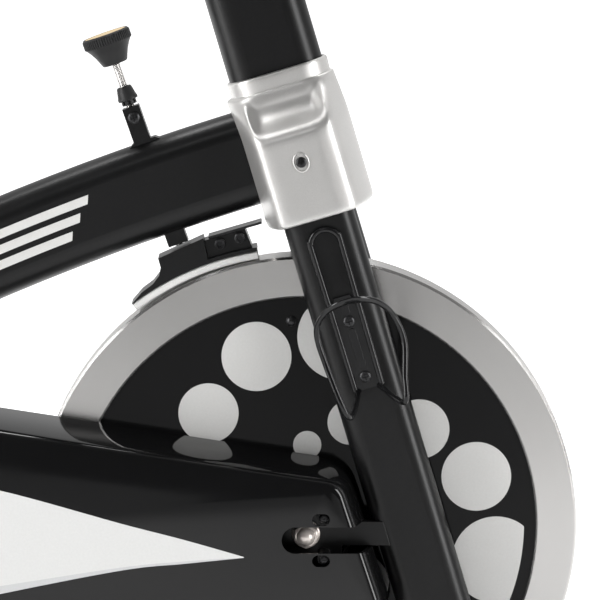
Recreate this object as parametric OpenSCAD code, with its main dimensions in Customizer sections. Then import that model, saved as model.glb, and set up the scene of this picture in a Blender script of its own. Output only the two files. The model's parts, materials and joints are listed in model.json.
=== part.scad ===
// Indoor cycling bike with a front flywheel, felt pad brake and covered belt drive.
// Millimetres. +X is forward, +Y is the rider's left, +Z is up, and the floor is Z = 0.
// Inside the modules X is measured forward from the flywheel axle; from_axle() shifts it
// so that the whole bike is centred over the origin.

/* [Flywheel] */
// Height of the flywheel axle above the floor
axle_z = 300; // [295:1:310]
// Outer radius of the flywheel rim
wheel_r = 227; // [222:1:228]
// Width of the rim
wheel_w = 40; // [36:1:40]
// Radius of the trim disc inside the rim
disc_r = 193; // [185:1:195]

/* [Frame tubes] */
// Long side of the flat-oval main tubes
tube_l = 80; // [78:1:82]
// Short side of the flat-oval main tubes
tube_w = 40; // [38:1:40]
// Long side of the fork legs and of the sliding posts
leg_l = 60; // [56:1:60]
// Short side of the fork legs and of the sliding posts
leg_w = 30; // [28:1:30]
// Distance of each fork leg's centre from the middle plane
leg_y = 43; // [43:1:45]
// Wall of every steel tube
wall = 2; // [1.5:0.5:2]
// Backward lean of the head axis from vertical
head_lean = 16.6; // [16:0.1:17]
// Backward lean of the seat axis from vertical
seat_lean = 17.5; // [17:0.5:18]
// Bending radius of the main tube's centre line
main_r = 2200; // [2150:10:2250]
// Slope of the main tube where it meets the head
main_slope = 17.7; // [17.5:0.1:18]

/* [Drive] */
// Crank axle, forward of the flywheel axle
bb_x = -460; // [-465:1:-455]
// Height of the crank axle
bb_z = 305; // [302:1:308]
// Crank arm length
crank_len = 170; // [165:5:175]
// Running radius of the crank pulley
big_pulley_r = 104; // [100:1:106]
// Running radius of the flywheel pulley
small_pulley_r = 35; // [33:1:36]

/* [Contact points] */
// Top of the head tube, measured up the head axis
head_top = 330; // [320:5:340]
// Top of the seat tube, measured up the seat axis from the crank axle
seat_top = 351; // [345:1:355]
// Overall width of both stabilizers
stand_w = 560; // [540:10:580]

/* [Hidden] */
$fn = 96;

// Where the head axis crosses the height of the flywheel's top
head_x = 16;
head_z = 543.9;
// Head tube starts and the fork crown ends, up the head axis
crown_bottom = 24;
crown_top = 64;
// Main tube's centre line passes here
main_x = -71.5;
main_z = 600.2;
main_cx = main_x + main_r * sin(main_slope);
main_cz = main_z - main_r * cos(main_slope);
// Stabilizers lie flat, centred at these places
stand_z = 54;
front_x = head_x + (head_z - stand_z) * tan(head_lean);
rear_x = -950;
foot_y = stand_w / 2 - 45;
cap_len = 34;
// Transport wheels stand clear of the floor in front of the front stabilizer
roller_r = 28;
roller_w = 22;
roller_x = front_x + tube_l / 2 + 28;
roller_z = 34;
roller_y = 170;
// The bike's length is centred over the origin
axle_x = -(roller_x + roller_r + rear_x - tube_l / 2 - 4) / 2;

// Gaps between neighbours: shafts in bores, sliding posts, and curved faces
run = 0.05;
slide_gap = 0.3;

// Layers of the drive side, as distances to the rider's right
pulley_in = 28;
pulley_out = 48;
drop_in = 50;
drop_out = 57;
cover_in = 24;
cover_out = 88;
crank_in = 93;
crank_out = 107;
// Cover outline: circle around the crank axle and corners beside the fork
cover_big_r = 126;
cover_wall = 3;
cover_corner_r = 30;
slot_h = 22;
axle_r = 7.5;
crank_axle_r = 8.5;

// Brake: the rod stands square to the main tube at this angle of the tube's arc
brake_phi = 19.1;
pad_r = wheel_r + 0.2;
pad_t = 7;
pad_start = 99.8;
pad_end = 128;
// The leaf spring bends about this place at the head
arm_x = -32;
arm_z = 556;
brake_lift = 0.93;

// Handlebar and saddle
post_top = 440;
bar_u = 458;
bar_rise = 18;
bar_r = 12.5;
bar_half = 205;
bar_bend = 45;
horn_len = 150;
carriage_x = -600;
carriage_z = 773;
slider_len = 240;
slider_x = -625;
stem_x = -700;
eye_z = 846;
saddle_z = 884;

steel_black = "#1b1b1d";
gloss_black = "#0c0c0d";
silver_paint = "#b9bbbd";
bright_steel = "#c9ccd0";
rubber_black = "#232325";

// ---------- shared shapes ----------

module from_axle() {
    translate([axle_x, 0, 0]) children();
}

// Z up the head axis, X square to it and forward
module head_frame() {
    translate([head_x, 0, head_z]) rotate([0, -head_lean, 0]) children();
}

module seat_frame() {
    translate([bb_x, 0, bb_z]) rotate([0, -seat_lean, 0]) children();
}

// Z square to the main tube and out of it, X along it and forward
module arc_frame(phi) {
    translate([main_cx, 0, main_cz]) rotate([0, -phi, 0]) translate([0, 0, main_r]) children();
}

// The place of the fork's bottle cage: its lower screw on the right leg
module cage_frame() {
    head_frame() translate([0, 0, -117.6]) children();
}

module at_axle() {
    translate([0, 0, axle_z]) children();
}

module at_crank() {
    translate([bb_x, 0, bb_z]) children();
}

module both_sides() {
    children();
    mirror([0, 1, 0]) children();
}

module y_cyl(r, y1, y2) {
    translate([0, y1, 0]) rotate([-90, 0, 0]) cylinder(r = r, h = y2 - y1);
}

// A flat outline in X and Z, given thickness from y1 to y2
module xz_plate(y1, y2) {
    translate([0, y2, 0]) rotate([90, 0, 0]) linear_extrude(y2 - y1) children();
}

// Turns a profile of radius and Y around the Y axis
module y_turned() {
    rotate([-90, 0, 0]) rotate_extrude() children();
}

module flat_oval(l, w) {
    square([l - w, w], center = true);
    for (s = [-1, 1]) translate([s * (l - w) / 2, 0]) circle(d = w);
}

module oval_bar(l, w, z1, z2) {
    translate([0, 0, z1]) linear_extrude(z2 - z1) flat_oval(l, w);
}

// Cuts a tube's end to the main-sized tube it is welded to, with flats around its round edge
module cope(z1, z2) {
    r = tube_w / 2;
    edge = tube_l / 2;
    corner = r / cos(15);
    half = [[edge, r * tan(15)], [edge - r + corner * sin(45), corner * sin(45)],
        [edge - r + 1.9, r + 2]];
    translate([0, 0, z1]) linear_extrude(z2 - z1)
        for (m = [0, 180]) rotate(m) polygon(concat([[0, -r - 2]],
            [for (i = [2 : -1 : 0]) [half[i].x, -half[i].y]], half, [[0, r + 2]]));
}

module oval_tube(l, w, z1, z2) {
    difference() {
        oval_bar(l, w, z1, z2);
        oval_bar(l - 2 * wall, w - 2 * wall, z1 - 1, z2 + 1);
    }
}

// Two circles a distance d apart along X, joined by their outer tangents
module belt_shape(r1, r2, d) {
    hull() {
        circle(r = r1);
        translate([d, 0]) circle(r = r2);
    }
}

function unit(v) = v / norm(v);

// Direction of a route at one of its points
function heading(points, i) = unit(
    (i == len(points) - 1 ? [0, 0, 0] : unit(points[i + 1] - points[i]))
    + (i == 0 ? [0, 0, 0] : unit(points[i] - points[i - 1])));

// Corners of a ring of eight around a point of a route
function ring(p, t, r) =
    let (n1 = unit(cross(t, [0.31, 0.47, 0.83])), n2 = cross(t, n1))
    [for (a = [0 : 45 : 315]) p + r * (cos(a) * n1 + sin(a) * n2)];

// Steel wire along an open route of points
module wire(points, r) {
    rings = [for (i = [0 : len(points) - 1]) each ring(points[i], heading(points, i), r)];
    last = len(points) - 1;
    polyhedron(rings, concat(
        [[for (k = [0 : 7]) k], [for (k = [7 : -1 : 0]) 8 * last + k]],
        [for (i = [0 : last - 1], k = [0 : 7])
            [8 * i + k, 8 * (i + 1) + k, 8 * (i + 1) + (k + 1) % 8, 8 * i + (k + 1) % 8]]
    ), convexity = 6);
}

// Flat strip that follows points in X and Z
module strip(points, t) {
    for (i = [0 : len(points) - 2]) hull() {
        translate(points[i]) circle(d = t, $fn = 16);
        translate(points[i + 1]) circle(d = t, $fn = 16);
    }
}

// ---------- frame ----------

module main_arc(phi1, phi2, l, w) {
    translate([main_cx, 0, main_cz]) rotate([90, 0, 0])
        rotate_extrude(start = 90 + phi1, angle = phi2 - phi1, $fn = 360)
            translate([main_r, 0]) flat_oval(l, w, $fn = 96);
}

module main_arc_tube(phi1, phi2) {
    difference() {
        main_arc(phi1, phi2, tube_l, tube_w);
        main_arc(phi1 - 1, phi2 + 1, tube_l - 2 * wall, tube_w - 2 * wall);
    }
}

// Angle of the arc at a given X of its centre line
function arc_phi(x) = asin((main_cx - x) / main_r);

seat_phi = arc_phi(bb_x - 42);

module brake_rod_hole(r) {
    arc_frame(brake_phi) translate([0, 0, -60]) cylinder(r = r, h = 120);
}

module main_tube_front() {
    color(steel_black) from_axle() difference() {
        main_arc_tube(arc_phi(-20), seat_phi);
        head_frame() cope(0, 140);
        head_frame() crown_box();
        seat_frame() cope(0, 260);
        brake_rod_hole(4.2);
    }
}

module stand_outline() {
    flat_oval(tube_l, tube_w);
}

module stand_bar(x, len) {
    translate([x, 0, stand_z]) xz_plate(-len / 2, len / 2) stand_outline();
}

cradle_top = 82;

// The tube ends on a cradle plate that is shaped to the rear stabilizer
module main_tube_rear() {
    color(steel_black) from_axle() difference() {
        union() {
            difference() {
                main_arc_tube(seat_phi, arc_phi(rear_x));
                translate([rear_x - 100, -50, 0]) cube([200, 100, cradle_top]);
            }
            translate([rear_x - tube_l / 2 - 4, -32, stand_z + 6])
                cube([tube_l + 24, 64, cradle_top - stand_z - 6]);
        }
        seat_frame() cope(0, 260);
        stand_bar(rear_x, 200);
    }
}

pin_r = 5;
pin_boss_r = 12;
head_pin_u = 250;
seat_pin_u = 300;

// Boss of a pull pin on a tube's front face, in the tube's own frame
module pin_boss(u) {
    difference() {
        translate([tube_l / 2 - 6, 0, u]) rotate([0, 90, 0]) cylinder(r = pin_boss_r, h = 22);
        oval_bar(tube_l, tube_w, u - 20, u + 20);
    }
}

module pin_bore(u) {
    translate([tube_l / 2 - 6, 0, u]) rotate([0, 90, 0]) cylinder(r = pin_r + run, h = 30);
}

// Outer box of the two crown blocks that carry the fork legs
module crown_box() {
    translate([-leg_l / 2, -leg_y - leg_w / 2, crown_bottom])
        cube([leg_l, 2 * leg_y + leg_w, crown_top - crown_bottom]);
}

module head_tube() {
    color(steel_black) from_axle() head_frame() difference() {
        union() {
            oval_tube(tube_l, tube_w, crown_bottom, head_top);
            pin_boss(head_pin_u);
            difference() {
                crown_box();
                oval_bar(tube_l, tube_w, 0, 100);
            }
        }
        pin_bore(head_pin_u);
    }
}

module fork_leg(side) {
    color(steel_black) from_axle() difference() {
        head_frame() translate([0, side * leg_y, 0])
            oval_tube(leg_l, leg_w, -505, crown_bottom);
        stand_bar(front_x, 200);
    }
}

// Plate that carries one end of the flywheel axle, welded to the leg's rear edge
module dropout_plate() {
    difference() {
        at_axle() xz_plate(-drop_out, -drop_in) difference() {
            union() {
                translate([-22, -24]) square([52, 48]);
                translate([0, -10]) square([90, 20]);
            }
            circle(r = axle_r);
        }
        head_frame() translate([0, -leg_y, 0]) oval_bar(leg_l, leg_w, -400, 0);
        head_frame() translate([-18, -70, -400]) cube([120, 40, 400]);
    }
}

cover_screw_x = 15;
cover_screw_dz = 17.3;

module dropouts() {
    color(steel_black) from_axle() {
        both_sides() dropout_plate();
        at_axle() for (s = [-1, 1]) translate([cover_screw_x, 0, s * cover_screw_dz])
            difference() {
                y_cyl(5.5, -80, -drop_out);
                y_cyl(2, -81, -drop_out + 1);
            }
    }
}

shell_r = 26;

module seat_tube() {
    color(steel_black) from_axle() difference() {
        seat_frame() union() {
            oval_tube(tube_l, tube_w, 10, seat_top);
            pin_boss(seat_pin_u);
        }
        seat_frame() pin_bore(seat_pin_u);
        at_crank() y_cyl(shell_r, -30, 30);
    }
}

bearing_r = 20;

// Shell for the crank bearings and the strut that braces it to the main tube
module bottom_bracket() {
    color(steel_black) from_axle() {
        difference() {
            union() {
                at_crank() y_cyl(shell_r, -22, 64);
                difference() {
                    translate([bb_x - 170, 0, bb_z - 4]) rotate([0, 90, 0]) rotate([0, 0, 90])
                        linear_extrude(170) rotate([0, 0, 90]) flat_oval(44, leg_w);
                    main_arc(arc_phi(-440), arc_phi(-800), tube_l, tube_w);
                    translate([bb_x - 200, -40, bb_z + 10]) cube([80, 80, 60]);
                    seat_frame() oval_bar(tube_l, tube_w, 0, 100);
                }
            }
            at_crank() y_cyl(bearing_r, -23, 65);
        }
    }
}

module foot_holes(x) {
    for (s = [-1, 1]) translate([x, s * foot_y, 0]) cylinder(r = 5 + run, h = stand_z);
}

module stabilizer(x) {
    difference() {
        stand_bar(x, stand_w - 8);
        translate([x, 0, stand_z]) xz_plate(-stand_w, stand_w)
            flat_oval(tube_l - 2 * wall, tube_w - 2 * wall);
        foot_holes(x);
    }
}

// Ears and pin of one transport wheel
module roller_mount(y) {
    translate([0, y, 0]) {
        difference() {
            for (s = [-1, 1]) translate([0, s * (roller_w / 2 + 3), 0])
                xz_plate(-2, 2) difference() {
                    translate([front_x + 25, roller_z]) square([roller_x - front_x - 25, 24]);
                    translate([roller_x, roller_z]) circle(r = 4);
                }
            stand_bar(front_x, 1000);
        }
        difference() {
            for (s = [-1, 1]) translate([roller_x, s * (roller_w / 2 + 3), roller_z])
                y_cyl(10, -2, 2);
            translate([roller_x, 0, roller_z]) y_cyl(4, -30, 30);
        }
        translate([roller_x, 0, roller_z]) y_cyl(4, -roller_w / 2 - 8, roller_w / 2 + 8);
    }
}

module front_stabilizer() {
    color(steel_black) from_axle() {
        stabilizer(front_x);
        for (s = [-1, 1]) roller_mount(s * roller_y);
    }
}

module rear_stabilizer() {
    color(steel_black) from_axle() stabilizer(rear_x);
}

module stabilizer_cap() {
    difference() {
        xz_plate(-cap_len, 0) flat_oval(tube_l + 8, tube_w + 8);
        xz_plate(-cap_len - 1, -4) stand_outline();
    }
}

module stabilizer_caps() {
    color(rubber_black) from_axle() for (x = [front_x, rear_x]) both_sides()
        translate([x, stand_w / 2, stand_z]) stabilizer_cap();
}

// Plastic bush between a tube and its sliding post, with a collar on the tube's top
module post_sleeve(top) {
    difference() {
        union() {
            oval_bar(tube_l - 2 * wall, tube_w - 2 * wall, top - 40, top);
            oval_bar(tube_l + 2, tube_w + 2, top, top + 5);
        }
        oval_bar(leg_l + 2 * slide_gap, leg_w + 2 * slide_gap, top - 41, top + 6);
    }
}

module post_sleeves() {
    color(rubber_black) from_axle() {
        head_frame() post_sleeve(head_top);
        seat_frame() post_sleeve(seat_top);
    }
}

// ---------- head shroud ----------

// Half the shroud's section around the fork crown: [forward, left], rear to front
shroud_edge = [[-45, 24], [-44, 31], [-36, 59], [-31, 64], [28, 64], [33, 62], [46, 38], [49, 30]];

module shroud_section(inset) {
    offset(delta = -inset) polygon(concat(shroud_edge,
        [for (i = [len(shroud_edge) - 1 : -1 : 0]) [shroud_edge[i].x, -shroud_edge[i].y]]));
}

module shroud_body(inset, low, high) {
    hull() {
        translate([0, 0, 20 + low]) linear_extrude(76 - low) shroud_section(inset);
        translate([1, 0, 112 - inset]) linear_extrude(0.1)
            flat_oval(91 - 2 * inset, 59 - 2 * inset);
    }
    translate([1, 0, 111 - inset]) linear_extrude(21)
        flat_oval(89 - 2 * inset, 57 - 2 * inset);
    translate([2, 0, 131]) linear_extrude(17 + high)
        flat_oval(84 - 2 * inset, 54 - 2 * inset);
}

shroud_screw_u = 69;

module head_shroud() {
    difference() {
        head_frame() difference() {
            shroud_body(0, 0, 0);
            shroud_body(cover_wall, -1, -cover_wall);
            oval_bar(tube_l, tube_w, 0, 160);
            translate([0, -70, shroud_screw_u]) y_cyl(2.5, 0, 20);
        }
        main_arc(arc_phi(0), arc_phi(-150), tube_l, tube_w);
        translate([-100, 0, 450]) cube([300, 100, 300]);
    }
}

module head_shroud_right() {
    color(silver_paint) from_axle() head_shroud();
}

module head_shroud_left() {
    color(silver_paint) from_axle() mirror([0, 1, 0]) head_shroud();
}

// ---------- belt cover ----------

// X of the cover's front wall at a height, just behind the fork leg
function cover_front(z) = head_x + (head_z - z) * tan(head_lean)
    - (leg_l / 2 + 2.5) / cos(head_lean);

// Outline of the cover in X and Z, without the slot
module cover_outline() {
    hull() {
        translate([bb_x, bb_z]) circle(r = cover_big_r);
        translate([cover_front(329) - cover_corner_r - 3, 329])
            circle(r = cover_corner_r);
        translate([cover_front(246) - cover_corner_r, 246]) circle(r = cover_corner_r);
    }
}

module cover_layer(y, inset) {
    xz_plate(y - 0.5, y) offset(delta = -inset) cover_outline($fn = 64);
}

module cover_body(inset) {
    hull() {
        cover_layer(-cover_in, inset);
        cover_layer(-cover_out + 20, inset + 4);
        cover_layer(-cover_out + 5 + inset, inset + 9);
        cover_layer(-cover_out + 0.5 + inset, inset + 15);
    }
}

module screw_slot() {
    hull() for (dx = [-5, 0]) translate([cover_screw_x + dx, 0]) circle(r = 4.8);
}

module belt_cover_outer() {
    color(gloss_black) from_axle() difference() {
        cover_body(0);
        cover_body(cover_wall);
        xz_plate(-cover_in - 1, -cover_in + 1) offset(delta = -cover_wall) cover_outline();
        at_axle() {
            xz_plate(-cover_out - 1, -drop_in + 2) {
                translate([-9, 0]) circle(r = slot_h / 2);
                translate([-9, -slot_h / 2]) square([130, slot_h]);
            }
            for (s = [-1, 1]) translate([0, 0, s * cover_screw_dz])
                xz_plate(-cover_out - 1, -cover_out + 8) screw_slot();
        }
        at_crank() y_cyl(15, -cover_out - 1, -cover_out + 8);
    }
}

module belt_cover_inner() {
    color(gloss_black) from_axle() difference() {
        xz_plate(-cover_in - 2.5, -cover_in) offset(delta = -cover_wall - 0.8) cover_outline();
        at_axle() y_cyl(31, -30, 0);
        at_crank() y_cyl(30, -30, 0);
    }
}

// ---------- fasteners and cage ----------

// Round-headed screw facing the rider's right, its head's seat at y = 0
module side_screw(head_r, shank_r, length) {
    y_cyl(head_r, -2.4, 0);
    y_cyl(shank_r, 0, length);
}

module trim_screws() {
    color(rubber_black) from_axle() {
        both_sides() head_frame() translate([0, -leg_y - leg_w / 2 - 6, shroud_screw_u])
            side_screw(4.5, 2.4, 6);
        at_axle() for (s = [-1, 1]) translate([cover_screw_x, -80, s * cover_screw_dz])
            side_screw(4.3, 2, 12);
        cage_frame() for (u = [1.4, 49.4]) translate([0, -leg_y - leg_w / 2 - 2.5, u])
            side_screw(5, 2.4, 2.5);
    }
}

cage_r = 2.5;

// Route of the cage's floor and front loop, given as [forward, left, up]
cage_loop = [[9, -61, -9], [26, -111, -20], [33, -108, 2], [40, -104, 28], [37.5, -106, 50],
    [29, -119, 66], [15, -130, 74], [0, -131, 75], [-15, -121, 70], [-26, -108, 56],
    [-27, -106, 30], [-21, -111, -19], [-9, -61, -9]];
// The hairpin that lies on the leg, with a half-round top
hairpin = concat([[11.3, -61, -8]],
    [for (a = [0 : 20 : 180]) [12.5 * cos(a), -61, 116 + 12.5 * sin(a)]], [[-11.3, -61, -8]]);

module bottle_cage() {
    color(gloss_black) from_axle() cage_frame() difference() {
        union() {
            wire(cage_loop, cage_r);
            wire(hairpin, cage_r);
            translate([-12, -60.5, -10]) cube([24, 2.5, 82]);
        }
        for (u = [1.4, 49.4]) translate([0, -70, u]) y_cyl(2.4, 0, 20);
        translate([0, -leg_y, 0]) oval_bar(leg_l, leg_w, -60, 140);
    }
}

// ---------- flywheel ----------

module flywheel_axle() {
    color(bright_steel) from_axle() at_axle() y_cyl(axle_r, -71, 71);
}

// Flanged dome nut on the right end of the axle
module dome_nut() {
    difference() {
        union() {
            y_cyl(11.8, -drop_out - 3, -drop_out);
            translate([0, -drop_out - 13, 0]) rotate([-90, 0, 0])
                cylinder(r = 10.9, h = 10, $fn = 6);
            translate([0, -drop_out - 13.5, 0]) sphere(r = 8);
        }
        y_cyl(axle_r, -71, 0);
    }
}

module axle_hardware() {
    color(bright_steel) from_axle() at_axle() {
        both_sides() dome_nut();
        difference() {
            union() {
                y_cyl(11, -drop_in, -pulley_out - 0.5);
                y_cyl(11, wheel_w / 2 + 0.5, drop_in);
            }
            y_cyl(axle_r, -60, 60);
        }
    }
}

hub_bore_r = 17.5;
web_t = 5;
rim_edge = 2;

module flywheel() {
    color(bright_steel) from_axle() at_axle() y_turned() {
        polygon([
            [disc_r, -wheel_w / 2 + 1.5], [disc_r + 1.5, -wheel_w / 2],
            [wheel_r - rim_edge, -wheel_w / 2],
            [wheel_r, -wheel_w / 2 + rim_edge], [wheel_r, wheel_w / 2 - rim_edge],
            [wheel_r - rim_edge, wheel_w / 2], [disc_r + 1.5, wheel_w / 2],
            [disc_r, wheel_w / 2 - 1.5]
        ]);
        translate([hub_bore_r, -web_t / 2]) square([disc_r - hub_bore_r, web_t]);
        translate([hub_bore_r, -wheel_w / 2]) square([11, wheel_w]);
    }
}

disc_t = 3;
disc_face = wheel_w / 2 - 2;
disc_screw_r = 173;

module disc_screw_places() {
    for (a = [94, 214, 334]) rotate([0, -a, 0]) translate([disc_screw_r, 0, 0]) children();
}

module wheel_discs() {
    color(gloss_black) from_axle() at_axle() both_sides() difference() {
        y_turned() translate([29, -disc_face]) square([disc_r - 29, disc_t]);
        disc_screw_places() y_cyl(2, -30, 0);
    }
}

module disc_screws() {
    color(rubber_black) from_axle() at_axle() both_sides() disc_screw_places() {
        intersection() {
            translate([0, -disc_face + 1.8, 0]) sphere(r = 5);
            y_cyl(6, -disc_face - 4, -disc_face);
        }
        y_cyl(2, -disc_face, -web_t / 2);
    }
}

module hub_bearings() {
    color(bright_steel) from_axle() at_axle() both_sides() difference() {
        y_cyl(hub_bore_r, -wheel_w / 2, -wheel_w / 2 + 11);
        y_cyl(axle_r + run, -30, 0);
    }
}

// Flanged pulley: radius and Y of its half section
module pulley_section(r, bore, y1, y2) {
    translate([bore, y1]) square([r - bore, y2 - y1]);
    for (y = [y1, y2 - 1]) translate([bore, y]) square([r + 4 - bore, 1]);
}

module flywheel_pulley() {
    color(steel_black) from_axle() at_axle() y_turned() {
        translate([12, wheel_w / 2]) square([14, pulley_in - wheel_w / 2]);
        pulley_section(small_pulley_r, 12, pulley_in, pulley_out);
    }
}

// ---------- crank drive ----------

pulley_gap = norm([bb_x, bb_z - axle_z]);
drive_tilt = atan2(bb_z - axle_z, -bb_x);

module belt_loop(extra) {
    belt_shape(small_pulley_r + extra, big_pulley_r + extra, pulley_gap);
}

module drive_belt() {
    color(rubber_black) from_axle() at_axle() mirror([1, 0, 0]) rotate([0, -drive_tilt, 0])
        xz_plate(-pulley_out + 1.3, -pulley_in - 1.3) difference() {
            belt_loop(slide_gap + 3.5);
            belt_loop(slide_gap);
        }
}

module bracket_bearings() {
    color(bright_steel) from_axle() at_crank() for (y = [-22, 52]) difference() {
        y_cyl(bearing_r, y, y + 12);
        y_cyl(crank_axle_r + run, y - 1, y + 13);
    }
}

module crank_axle() {
    color(bright_steel) from_axle() at_crank() y_cyl(crank_axle_r, -crank_out, crank_out);
}

module drive_pulley() {
    color(steel_black) from_axle() at_crank() mirror([0, 1, 0]) y_turned() {
        translate([crank_axle_r, pulley_in - 3]) square([14, 22]);
        translate([crank_axle_r, pulley_in + 8]) square([big_pulley_r - 8 - crank_axle_r, 4]);
        pulley_section(big_pulley_r, big_pulley_r - 8, pulley_in, pulley_out);
    }
}

pedal_thread_r = 7;

// Arm hanging from the crank axle, on the rider's right
module crank_arm() {
    difference() {
        rotate([0, 90, 0]) xz_plate(-crank_out, -crank_in) belt_shape(20, 14, crank_len);
        y_cyl(crank_axle_r, -120, 0);
        translate([0, 0, -crank_len]) y_cyl(pedal_thread_r, -120, 0);
    }
}

module crank_right() {
    color(steel_black) from_axle() at_crank() crank_arm();
}

module crank_left() {
    color(steel_black) from_axle() at_crank() rotate([0, 180, 0]) mirror([0, 1, 0]) crank_arm();
}

pedal_in = 113;
pedal_out = 207;

// Places of a right pedal's parts at the lower crank end, and of a left one's at the upper end
module at_right_pedal() {
    translate([bb_x, 0, bb_z - crank_len]) children();
}

module at_left_pedal() {
    translate([bb_x, 0, bb_z + crank_len]) mirror([0, 1, 0]) children();
}

module pedal_spindles() {
    color(bright_steel) from_axle() {
        at_right_pedal() y_cyl(pedal_thread_r, -pedal_out + 6, -crank_in);
        at_left_pedal() y_cyl(pedal_thread_r, -pedal_out + 6, -crank_in);
    }
}

// Pedal body on the rider's right, around the spindle
module pedal_body() {
    difference() {
        union() {
            y_cyl(15, -pedal_out, -pedal_in);
            translate([-48, -pedal_out, -10]) cube([96, 12, 20]);
            translate([-48, -pedal_in - 12, -10]) cube([96, 12, 20]);
            for (x = [-48, 38]) translate([x, -pedal_out, -10]) cube([10, pedal_out - pedal_in, 20]);
            translate([-30, -pedal_out, -4]) cube([60, pedal_out - pedal_in, 8]);
        }
        y_cyl(pedal_thread_r + run, -pedal_out + 5.5, 0);
    }
}

module pedal_right() {
    color(rubber_black) from_axle() at_right_pedal() pedal_body();
}

module pedal_left() {
    color(rubber_black) from_axle() at_left_pedal() pedal_body();
}

cage_side = [[50, 0], [74, 0], [96, 8], [104, 30], [99, 48], [84, 60], [38, 67]];

// Steel cage over the shoe's toe, bolted to the pedal's front edge
module toe_cage() {
    mid = -(pedal_in + pedal_out) / 2;
    translate([48, mid - 38, -8]) cube([3, 76, 16]);
    for (y = [mid - 38, mid + 31]) xz_plate(y, y + 7) strip(cage_side, 3);
    translate([102, mid - 38, 24]) cube([3, 76, 9]);
    translate([38, mid - 38, 65.5]) cube([12, 76, 3]);
}

module toe_cage_right() {
    color(gloss_black) from_axle() at_right_pedal() toe_cage();
}

module toe_cage_left() {
    color(gloss_black) from_axle() at_left_pedal() toe_cage();
}

// ---------- brake ----------

bracket_w = 14.5;
bracket_top = 71;

// Upright guide above the main tube and guide block below it
module brake_mounts() {
    color(steel_black) from_axle() difference() {
        arc_frame(brake_phi) {
            translate([-bracket_w / 2, -bracket_w / 2, 34])
                cube([bracket_w, bracket_w, bracket_top - 34]);
            hull() {
                translate([-12, -bracket_w / 2, 34]) cube([27, bracket_w, 4.6]);
                translate([-8, -bracket_w / 2, 34]) cube([19, bracket_w, 7.5]);
            }
            translate([-8.5, -8.5, -50]) cube([17, 17, 16]);
            translate([0, -bracket_w / 2 - 2, 62]) y_cyl(5, 0, 2);
        }
        main_arc(arc_phi(-20), arc_phi(-250), tube_l, tube_w);
        brake_rod_hole(4.2);
        arc_frame(brake_phi) translate([0, 0, 20]) cylinder(r = 4.2, h = 60);
    }
}

module brake_collar() {
    color(rubber_black) from_axle() arc_frame(brake_phi) difference() {
        union() {
            translate([0, 0, 73]) cylinder(r = 6.5, h = 5);
            translate([0, 0, 77]) cylinder(r = 8.5, h = 2.5);
            translate([0, 0, 79]) cylinder(r1 = 8.5, r2 = 6, h = 10);
        }
        translate([0, 0, 70]) cylinder(r = rod_r + run, h = 30);
    }
}

rod_r = 3.5;
rod_tip = -51.4;
knob_base = 109;

module brake_rod() {
    color(bright_steel) from_axle() arc_frame(brake_phi) {
        translate([0, 0, rod_tip]) cylinder(r = rod_r, h = knob_base + 12 - rod_tip);
    }
}

module brake_knob() {
    color(rubber_black) from_axle() arc_frame(brake_phi) difference() {
        translate([0, 0, knob_base]) rotate_extrude() polygon([
            [0, 0], [10, 0], [11, 1], [14, 8], [18.5, 16], [20.5, 17.5],
            [20.5, 25], [19, 26.5], [16.5, 26.5], [16.5, 24.5], [0, 24.5]
        ]);
        translate([0, 0, knob_base - 1]) cylinder(r = rod_r, h = 13);
    }
}

// Lifts what the leaf spring carries from its pressed place to its resting place
module brake_arm() {
    translate([arm_x, 0, arm_z]) rotate([0, brake_lift, 0])
        translate([-arm_x, 0, -arm_z]) children();
}

function ring_point(r, a) = [r * cos(a), axle_z + r * sin(a)];

pad_back = pad_r + pad_t;
carrier_half = 16;
thin_back = pad_back + 3.4;

// Its lower edge stays outside the pad's round back
module carrier_outline() {
    step = (pad_end - pad_start) / 12;
    polygon(concat(
        [for (i = [0 : 12]) ring_point(pad_back / cos(step / 2), pad_end - i * step)],
        [for (i = [0 : 4]) ring_point(thin_back, pad_start + i * 2.55)],
        [[-85.2, 541], [-122.5, 523.4], [-120.3, 516], [-121.4, 509], [-127, 501.5],
            [-136, 494.5]]
    ));
}

// Pad carrier, and the bolted clamp that holds it to the leaf spring
module brake_carrier() {
    color(steel_black) from_axle() brake_arm() {
        xz_plate(-carrier_half, carrier_half) carrier_outline();
        xz_plate(-12, 12) difference() {
            polygon([[-84.3, 538.6], [-50.5, 549], [-43.2, 531], [-80, 520]]);
            translate([0, axle_z]) circle(r = thin_back);
            carrier_outline();
        }
        for (p = [[-71, 536.2], [-54.5, 541.6]]) translate([p.x, 0, p.y]) both_sides()
            y_cyl(4.5, -15, -12);
    }
}

module brake_pad() {
    color("#dcdcd8") from_axle() brake_arm() at_axle() rotate([90, 0, 0])
        rotate_extrude(start = pad_start, angle = pad_end - pad_start)
            translate([pad_r, -carrier_half + 1]) square([pad_t, 2 * carrier_half - 2]);
}

leaf_slope = 17.1;

module leaf_spring() {
    color(bright_steel) from_axle() brake_arm() translate([-84.3, 0, 538.7])
        rotate([0, -leaf_slope, 0]) translate([4, -12, 0.1]) cube([46, 24, 2]);
}

// ---------- seat ----------

module post_holes(u1, count, side) {
    for (i = [0 : count - 1]) translate([side * leg_l / 2 - 6, 0, u1 + i * 30])
        rotate([0, 90, 0]) cylinder(r = 5.5, h = 12);
}

carriage_len = 80;
carriage_l = leg_l + 8;
carriage_w = leg_w + 8;

// A flat-oval bar along X with its long side upright
module upright_bar(l, w, x1, x2) {
    translate([x1, 0, 0]) rotate([90, 0, 90]) linear_extrude(x2 - x1)
        rotate([0, 0, 90]) flat_oval(l, w);
}

module carriage_bar(l, w, extra) {
    translate([carriage_x, 0, carriage_z])
        upright_bar(l, w, -carriage_len / 2 - extra, carriage_len / 2 + extra);
}

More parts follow.
